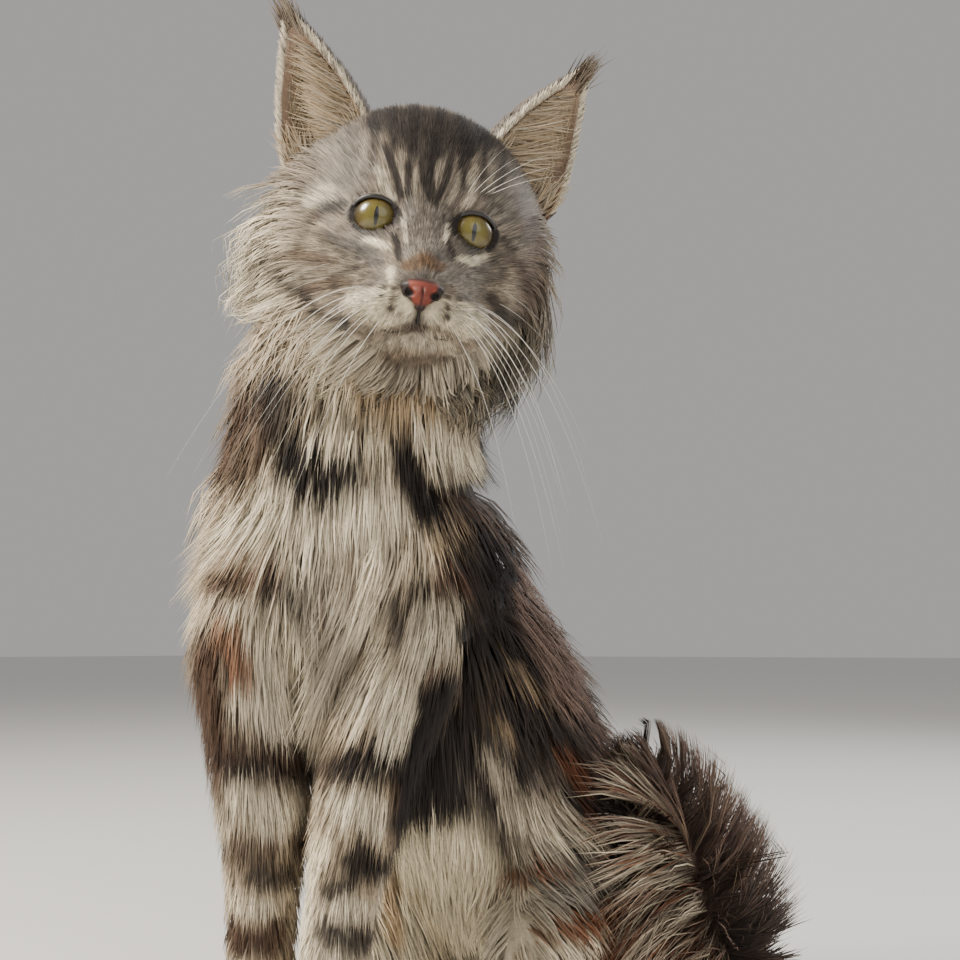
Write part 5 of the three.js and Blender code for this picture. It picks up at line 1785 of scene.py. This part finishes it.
def build_lids():
    """The dark, moist rims of the lids."""
    meshes = []
    for _, side in SIDES:
        angle = np.linspace(0, 360, 64, endpoint=False)
        reach = lid_reach(angle) + 0.15
        over = np.cos(np.radians(angle)) * reach + 0.8
        up = np.sin(np.radians(angle)) * reach
        far = EYE_RADIUS + 0.95
        deep = np.sqrt(np.maximum(far**2 - over**2 - up**2, 1.0))
        path = EYE_SPOTS[side] + np.stack([over * side, -deep, up], 1)
        thick = 0.6 + 0.3 * bump(angle, 203, 40) + 0.45 * ramp(0, 1, np.sin(np.radians(angle)))
        meshes.append(tube(from_head(path), thick, 8, closed=True))
    return bare_skin("lid_rims", meshes, paint(26, 19, 17), leather_material("Lid rims", 0.35, 0.5))


# Nose and mouth

def build_nose():
    """Nose leather: a broad pad with wings, comma-shaped nostrils and a groove."""
    eggs = [
        Egg((0, -76, -31.6), (9.4, 6.0, 3.9)),
        Egg((0, -78.5, -34.5), (6.4, 5.0, 4.2)),
        Egg((5.4, -75.8, -33.2), (3.2, 4.8, 3.0), (0, 20, 0)),
        Egg((-5.4, -75.8, -33.2), (3.2, 4.8, 3.0), (0, -20, 0)),
        Egg((0, -77.5, -38.2), (2.8, 4.2, 3.2)),
    ]
    points, faces = welded([egg.mesh() for egg in eggs], 0.42, 5)
    x, y, z = points.T
    side = np.abs(x)
    slot_line = np.hypot(side - 5.3 - 0.35 * (z + 34), (z + 34.4) * 1.15)
    pit = ramp(2.5, 0.9, slot_line) * ramp(-74, -78, y)
    curl = ramp(1.3, 0.2, np.abs(z + 35.6 + 0.35 * (side - 5.5))) * ramp(5.4, 6.6, side) * ramp(-72, -76, y)
    groove = ramp(0.9, 0.1, side) * ramp(-30.5, -33.5, z)
    points = points.copy()
    points[:, 1] += 2.6 * pit + 1.3 * curl + 0.9 * groove
    sides = ramp(4.4, 6.2, side - 0.35 * (z + 33))
    # The edge darkens the rim, top and bottom of the leather; its share in the groove is painted shade in the
    # crease
    edge = np.maximum.reduce([sides, ramp(-30.4, -28.6, z) * 0.9, ramp(-37.5, -40.0, z), groove * 0.7])
    colours = np.tile(paint(150, 62, 42), (len(points), 1))
    colours = mix(colours, paint(104, 42, 28), 0.5 + 0.5 * noise(points, 3.2, 71))
    colours = mix(colours, paint(34, 20, 18), edge)
    # Nostril pits and curls painted near black: painted shade of their hollows
    colours = mix(colours, paint(14, 8, 8), np.maximum(pit, curl))
    nose = shaped("nose_leather", from_head(points), faces, colours)
    return finished(nose, leather_material("Moist nose leather", 0.6, 0.12), "nose_leather", ("nose",))


def on_face(places, lift=0.0):
    """Places of the head's own frame moved to the face's surface along its depth."""
    head = WORK["head"]
    found = []
    ahead = Vector(HEAD_SPIN @ np.array((0, 1.0, 0)))
    for across, height in places:
        start = from_head(np.array([(across, -120, height)]))[0]
        hit = head.tree.ray_cast(Vector(start), ahead, 140)
        place = to_head(np.array([hit[0][:]]))[0] if hit[0] else np.array((across, -60.0, height))
        found.append(place + (0, -lift, 0))
    return np.array(found)


def build_lips():
    """The dark line of the split lip and the closed mouth."""
    build_hides()
    at = np.linspace(0, 1, 41)
    mouth = on_face(smooth_through(MOUTH, at), 0.2)
    fade = ramp(0.0, 0.12, at) * ramp(1.0, 0.88, at)
    split = on_face([(0, height) for height in np.linspace(-38.5, -46.5, 9)], 0.25)
    lines = [tube(from_head(mouth), 0.2 + 0.4 * fade, 8), tube(from_head(split), 0.7, 8)]
    return bare_skin("lip_line", lines, paint(30, 20, 18), leather_material("Lip line", 0.5, 0.2))


# Whiskers

LONGEST_WHISKER = 78.0
WHISKERS_END = -74
LIP_ROWS = (-34.5, -38.8, -43.0)


def build_whiskers():
    """Long white whiskers of the lip, shorter ones over the eyes and on the cheeks."""
    build_hides()
    settings = bpy.context.scene.cat_whiskers
    thick = settings.radius / MM
    vary = np.random.default_rng(301)
    at = np.linspace(0, 1, 13)[:, None]
    tone = mix(paint(120, 108, 96), paint(228, 223, 212), ramp(0, 0.1, at[:, 0]))
    meshes = []

    def add(across, height, way, length, droop, radius):
        root = on_face([(across, height)], -1.0)[0]
        length = min(length, LONGEST_WHISKER)
        path = from_head(root + unit(way) * length * at + DOWN * droop * length * at**2)
        ahead = max(1.0, (path[0, 1] - path[:, 1].min()) / (path[0, 1] - WHISKERS_END))
        path = path[0] + (path - path[0]) / ahead
        meshes.append(tube(path, radius * (1 - 0.9 * at[:, 0] ** 0.8), 5))

    for _, side in SIDES:
        for row, height in enumerate(LIP_ROWS):
            for k in range(int(settings.per_row)):
                reach = (0.7 + 0.3 * bump(k, 2, 4)) * (1 - 0.08 * row) * vary.uniform(0.8, 1.1)
                way = (side * (0.62 + 0.12 * k), -0.22 + 0.16 * k, -0.12 - 0.2 * row + vary.normal(0, 0.07))
                length, droop = settings.length / MM * reach, vary.uniform(0.7, 1.2)
                add(side * (12 + 4.6 * k), height + 0.5 * k, way, length, droop, thick)
        for k in range(5):
            way = (side * (0.35 + 0.14 * k), -0.55, 0.75 - 0.05 * k)
            add(side * (17 + 2.6 * k), 17 + 0.6 * k, way, vary.uniform(30, 46), 0.22, thick * 0.75)
        for k in range(2):
            add(side * 38, -22 - 6 * k, (side * 0.9, -0.25, -0.3), vary.uniform(26, 36), 0.3, thick * 0.7)
    points, faces = joined(meshes)
    whiskers = shaped("whiskers", points, faces, np.tile(np.repeat(tone, 5, axis=0), (len(meshes), 1)))
    material, tree, shader = new_material("Whisker", {"Roughness": 0.35})
    feed(tree, shader, {"Base Color": carried(tree)})
    return finished(whiskers, material, "face_coat")


# Harness

def weave(tree, given):
    """Warp and weft of narrow woven webbing, with worn threads."""
    threads = {0: place_of(tree, "UV"), "Scale": given["Threads"]}
    brick = {
        "Vector": node(tree, "VectorMath", threads, operation="SCALE").outputs[0], "Scale": 1.0,
        "Mortar Size": 0.12, "Mortar Smooth": 1.0, "Brick Width": 1.6, "Row Height": 0.8,
    }
    gaps = node(tree, "TexBrick", brick, offset=0.5).outputs["Fac"]
    wear = grain_of(tree, {"Scale": 90.0, "Vector": place_of(tree)})
    fade = calc(tree, "MULTIPLY", wear, given["Wear"])
    worn = blended(tree, fade, given["Colour"], (*paint(92, 92, 98), 1))
    return {
        "Colour": worn, "Roughness": spread(tree, wear, 0.55, 0.8), "Height": calc(tree, "SUBTRACT", 1.0, gaps)
    }


def webbing_material(name, colour, wear=0.2):
    """Flat woven webbing."""
    material, tree, shader = new_material(name, {"Sheen Weight": 0.1})
    group = pattern_group("Woven webbing", ("Threads", "Wear"), weave)
    height = patterned(tree, shader, group, {"Colour": (*colour, 1), "Threads": 900.0, "Wear": wear})
    raised(tree, shader, height, 0.6, 0.0004)
    return material


def steel_material():
    """Bright steel with fine scratches."""
    same = {"Base Color": (*paint(202, 202, 206), 1), "Metallic": 1.0}
    material, tree, shader = new_material("Bright steel", same)
    scratches = grain_of(tree, {"Scale": 2200.0, "Vector": place_of(tree)})
    feed(tree, shader, {"Roughness": spread(tree, scratches, 0.16, 0.34)})
    return material


STRAP_PROFILE = (
    (0.0, 0.25), (0.0, 0.75), (0.04, 0.96), (0.5, 1.0), (0.96, 0.96),
    (1.0, 0.75), (1.0, 0.25), (0.96, 0.04), (0.5, 0.0), (0.04, 0.04),
)
STRAP_WIDE = 0.011


def strap(name, lines, closed, material, replaced):
    """Webbing with rounded edges between two lines, with their outward direction."""
    first, second, out = lines
    count, sides = len(first), len(STRAP_PROFILE)
    points = []
    for i in range(count):
        for across, up in STRAP_PROFILE:
            base = first[i] + (second[i] - first[i]) * across
            points.append(base + out[i] * (STRAP_LIFT + STRAP_THICK * up))
    rows = count if closed else count - 1
    faces, uvs, far = ring_faces(rows, sides, closed), [], 0.0
    for i in range(rows):
        near, far = far, far + np.linalg.norm(first[(i + 1) % count] - first[i]) * MM
        for k in range(sides):
            u, v = STRAP_PROFILE[k][0] * STRAP_WIDE, STRAP_PROFILE[(k + 1) % sides][0] * STRAP_WIDE
            uvs += [(u, near), (v, near), (v, far), (u, far)]
    if not closed:
        faces += end_faces(rows, sides)
        uvs += [(0.0, 0.0)] * (2 * sides)
    piece = shaped(name, points, faces)
    piece.data.uv_layers.new(name="Weave").data.foreach_set("uv", np.array(uvs).ravel())
    return finished(piece, material, "webbing", replaced)


def torso_lines(t0, t1, angles):
    """Two edges of a strap round the torso, with the outward direction between."""
    t0, t1, angles = np.broadcast_arrays(np.atleast_1d(t0), np.atleast_1d(t1), np.atleast_1d(angles))
    first, second = TORSO.place(t0, angles), TORSO.place(t1, angles)
    middle = TORSO.place((t0 + t1) / 2, angles)
    out = unit(TORSO.place((t0 + t1) / 2, angles, 4.0) - middle)
    return first, second, out


def build_harness():
    """Collar, girth and back strap in woven webbing, with their stitching and a ring."""
    settings = bpy.context.scene.cat_harness
    webbing = webbing_material("Black webbing", tuple(settings.webbing))
    turns = np.arange(96) * 360 / 96
    strap("collar", torso_lines(*COLLAR_SPAN, turns), True, webbing, ("harness_collar",))
    strap("girth", torso_lines(*GIRTH_SPAN, turns), True, webbing, ("harness_girth",))
    t = np.linspace(GIRTH_SPAN[1] + 0.003, COLLAR_SPAN[0] - 0.003, 40)
    first, second = (TORSO.place(t, BACK_STRAP_ANGLE + half) for half in (-6, 6))
    out = unit(TORSO.place(t, BACK_STRAP_ANGLE, 4.0) - TORSO.place(t, BACK_STRAP_ANGLE))
    strap("back_strap", (first, second, out), False, webbing, ("harness_back_strap",))
    stitches = []
    for share in (0.16, 0.84):
        line = first + (second - first) * share + out * (STRAP_LIFT + STRAP_THICK)
        for i in range(1, len(line) - 1):
            ahead = unit(line[i + 1] - line[i - 1]) * 0.8
            stitches.append(tube([line[i] - ahead, line[i] + out[i] * 0.25, line[i] + ahead], 0.22, 5))
    thread = shaped("stitching", *joined(stitches))
    finished(thread, webbing_material("Stitching thread", tuple(settings.thread), 0.4), "webbing")
    # The ring stands where the solid has it
    corners = np.array([vertex.co[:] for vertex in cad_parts["harness_ring"].data.vertices])
    centre = corners.mean(0)
    _, _, axes = np.linalg.svd(corners - centre, full_matrices=False)
    turn = np.linspace(0, 2 * math.pi, 48, endpoint=False)[:, None]
    circle = centre + (axes[0] * np.cos(turn) + axes[1] * np.sin(turn)) * RING_RADIUS * MM
    ring = shaped("ring", *tube(circle / MM, RING_WIRE, 12, closed=True), offset=0)
    return finished(ring, steel_material(), "ring_steel", ("harness_ring",))


# Studio

def build_stage():
    """A pale floor, soft lights and the camera at the photograph's angle."""
    settings = bpy.context.scene.cat_stage
    floor = mesh_object("floor", [(-30, -30, 0), (30, -30, 0), (30, 30, 0), (-30, 30, 0)], [(0, 1, 2, 3)])
    material, tree, shader = new_material("Pale floor", {"Base Color": (*settings.floor, 1)})
    feed(tree, shader, {"Roughness": spread(tree, grain_of(tree, {"Scale": 40.0}), 0.7, 0.85)})
    floor.data.materials.append(material)
    world = bpy.data.worlds.new("Studio air")
    world.use_nodes = True
    air = {0: (*settings.air, 1), 1: settings.air_strength}
    feed(world.node_tree, world.node_tree.nodes["Background"], air)
    bpy.context.scene.world = world
    middle = Vector(packed(np.array([(10, 60, 260)]))[0])
    lights = (
        ("key", (-0.8, -1.4, 1.6), 0.9, settings.key),
        ("fill", (1.7, -0.9, 0.8), 1.6, settings.fill),
        ("rim", (0.6, 1.7, 1.6), 1.2, settings.rim),
    )
    for name, way, size, power in lights:
        data = bpy.data.lights.new(name, "AREA")
        data.energy, data.shape, data.size = power, "DISK", size
        data.color = (1.0, 0.94, 0.84) if name == "key" else (1.0, 1.0, 1.0)
        lamp = placed(name, data)
        lamp.location = middle + Vector(way)
        lamp.rotation_euler = Vector(way).to_track_quat("Z", "Y").to_euler()
    data = bpy.data.cameras.new("camera")
    data.sensor_width, data.lens = SENSOR, SENSOR * FOCAL_PIXELS / PHOTO_SIDE
    data.clip_start = 0.02
    camera = placed("camera", data)
    azimuth, pitch = math.radians(CAMERA_AZIMUTH), math.radians(CAMERA_PITCH)
    ahead = Vector(
        (-math.sin(azimuth) * math.cos(pitch), math.cos(azimuth) * math.cos(pitch), math.sin(pitch))
    )
    camera.location = Vector(packed(np.array([CAMERA_PLACE]))[0])
    camera.rotation_euler = ahead.to_track_quat("-Z", "Y").to_euler()
    bpy.context.scene.camera = camera


# Settings that a user would change

def colour_setting(name, description, default):
    """A colour property."""
    return FloatVectorProperty(
        name=name, description=description, default=default, size=3, subtype="COLOR", min=0.0, max=1.0
    )


class CatCoatSettings(bpy.types.PropertyGroup):
    """Sizes of the coat."""

    fullness: FloatProperty(
        name="Fullness", description="Share of the coat's tufts", default=1.0, min=0.1, max=1.2
    )
    sheen: FloatProperty(name="Sheen", description="Soft sheen of the coat", default=0.04, min=0.0, max=1.0)


class CatEyeSettings(bpy.types.PropertyGroup):
    """Sizes and colours of the eyes."""

    inner: colour_setting("Inner iris", "Colour of the iris round the pupil", paint(112, 102, 40))
    outer: colour_setting("Outer iris", "Colour of the iris near its edge", paint(88, 72, 27))
    pupil_width: FloatProperty(
        name="Pupil width", description="Width of the slit", default=0.0021, unit="LENGTH"
    )
    pupil_height: FloatProperty(
        name="Pupil height", description="Height of the slit", default=0.0085, unit="LENGTH"
    )


class CatWhiskerSettings(bpy.types.PropertyGroup):
    """Sizes of the whiskers."""

    length: FloatProperty(
        name="Length", description="Length of the longest whisker", default=0.08, unit="LENGTH"
    )
    radius: FloatProperty(name="Radius", description="Radius at the root", default=0.0002, unit="LENGTH")
    per_row: IntProperty(
        name="In a row", description="Whiskers in each row of the lip", default=4, min=1, max=8
    )


class CatHarnessSettings(bpy.types.PropertyGroup):
    """Colours of the harness."""

    webbing: colour_setting("Webbing", "Colour of the straps", paint(30, 31, 38))
    thread: colour_setting("Thread", "Colour of the stitching", paint(120, 180, 60))


class CatStageSettings(bpy.types.PropertyGroup):
    """Light and floor of the studio."""

    floor: colour_setting("Floor", "Colour of the floor", paint(226, 224, 220))
    air: colour_setting("Air", "Colour of the light from all round", paint(244, 242, 240))
    air_strength: FloatProperty(
        name="Air strength", description="Light from all round", default=0.45, min=0.0
    )
    key: FloatProperty(name="Key light", description="Strength of the main light", default=98.0, unit="POWER")
    fill: FloatProperty(
        name="Fill light", description="Strength of the side light", default=9.0, unit="POWER"
    )
    rim: FloatProperty(
        name="Rim light", description="Strength of the light behind", default=26.0, unit="POWER"
    )


class CAT_OT_skin(bpy.types.Operator):
    """Make the skin of body, head and ears"""

    bl_idname = "cat.skin"
    bl_label = "Skin"

    def execute(self, context):
        build_skin()
        return {"FINISHED"}


class CAT_OT_coat(bpy.types.Operator):
    """Grow the coat in locks and tufts"""

    bl_idname = "cat.coat"
    bl_label = "Coat"

    def execute(self, context):
        for name in COVERS:
            grow(name)
        grow_ears()
        return {"FINISHED"}


class CAT_OT_eyes(bpy.types.Operator):
    """Make both eyes and the rims of their lids"""

    bl_idname = "cat.eyes"
    bl_label = "Eyes"

    def execute(self, context):
        material = eye_material()
        for name, side in SIDES:
            finished(eye_mesh(f"eyeball_{name}", side), material, "eye", (f"eye_{name}",))
        build_lids()
        return {"FINISHED"}


class CAT_OT_face(bpy.types.Operator):
    """Make the nose leather, the lips and the whiskers"""

    bl_idname = "cat.face"
    bl_label = "Nose, lips and whiskers"

    def execute(self, context):
        build_nose()
        build_lips()
        build_whiskers()
        return {"FINISHED"}


class CAT_OT_harness(bpy.types.Operator):
    """Make the harness with its stitching and ring"""

    bl_idname = "cat.harness"
    bl_label = "Harness"

    def execute(self, context):
        build_harness()
        return {"FINISHED"}


class CAT_OT_stage(bpy.types.Operator):
    """Make the floor, the lights and the camera"""

    bl_idname = "cat.stage"
    bl_label = "Stage"

    def execute(self, context):
        build_stage()
        return {"FINISHED"}


SETTINGS = (
    ("cat_coat", CatCoatSettings),
    ("cat_eyes", CatEyeSettings),
    ("cat_whiskers", CatWhiskerSettings),
    ("cat_harness", CatHarnessSettings),
    ("cat_stage", CatStageSettings),
)
OPERATORS = (CAT_OT_skin, CAT_OT_coat, CAT_OT_eyes, CAT_OT_face, CAT_OT_harness, CAT_OT_stage)


class CAT_PT_panel(bpy.types.Panel):
    """Lists the cat's pieces and settings in the sidebar."""

    bl_label = "Cat"
    bl_space_type = "VIEW_3D"
    bl_region_type = "UI"
    bl_category = "Cat"

    def draw(self, context):
        for operator in OPERATORS:
            self.layout.operator(operator.bl_idname)
        for name, group in SETTINGS:
            box = self.layout.box()
            for key in group.__annotations__:
                box.prop(getattr(context.scene, name), key)


def register():
    """Registers the settings, the operators and the panel."""
    for name, group in SETTINGS:
        bpy.utils.register_class(group)
        setattr(bpy.types.Scene, name, bpy.props.PointerProperty(type=group))
    for operator in OPERATORS:
        bpy.utils.register_class(operator)
    bpy.utils.register_class(CAT_PT_panel)


def unregister():
    """Takes away what register added."""
    bpy.utils.unregister_class(CAT_PT_panel)
    for operator in reversed(OPERATORS):
        bpy.utils.unregister_class(operator)
    for name, group in reversed(SETTINGS):
        delattr(bpy.types.Scene, name)
        bpy.utils.unregister_class(group)


def main():
    """Makes every piece in order."""
    register()
    bpy.ops.cat.stage()
    bpy.ops.cat.skin()
    bpy.ops.cat.coat()
    bpy.ops.cat.eyes()
    bpy.ops.cat.face()
    bpy.ops.cat.harness()
    bpy.context.view_layer.update()


if __name__ == "__main__":
    main()
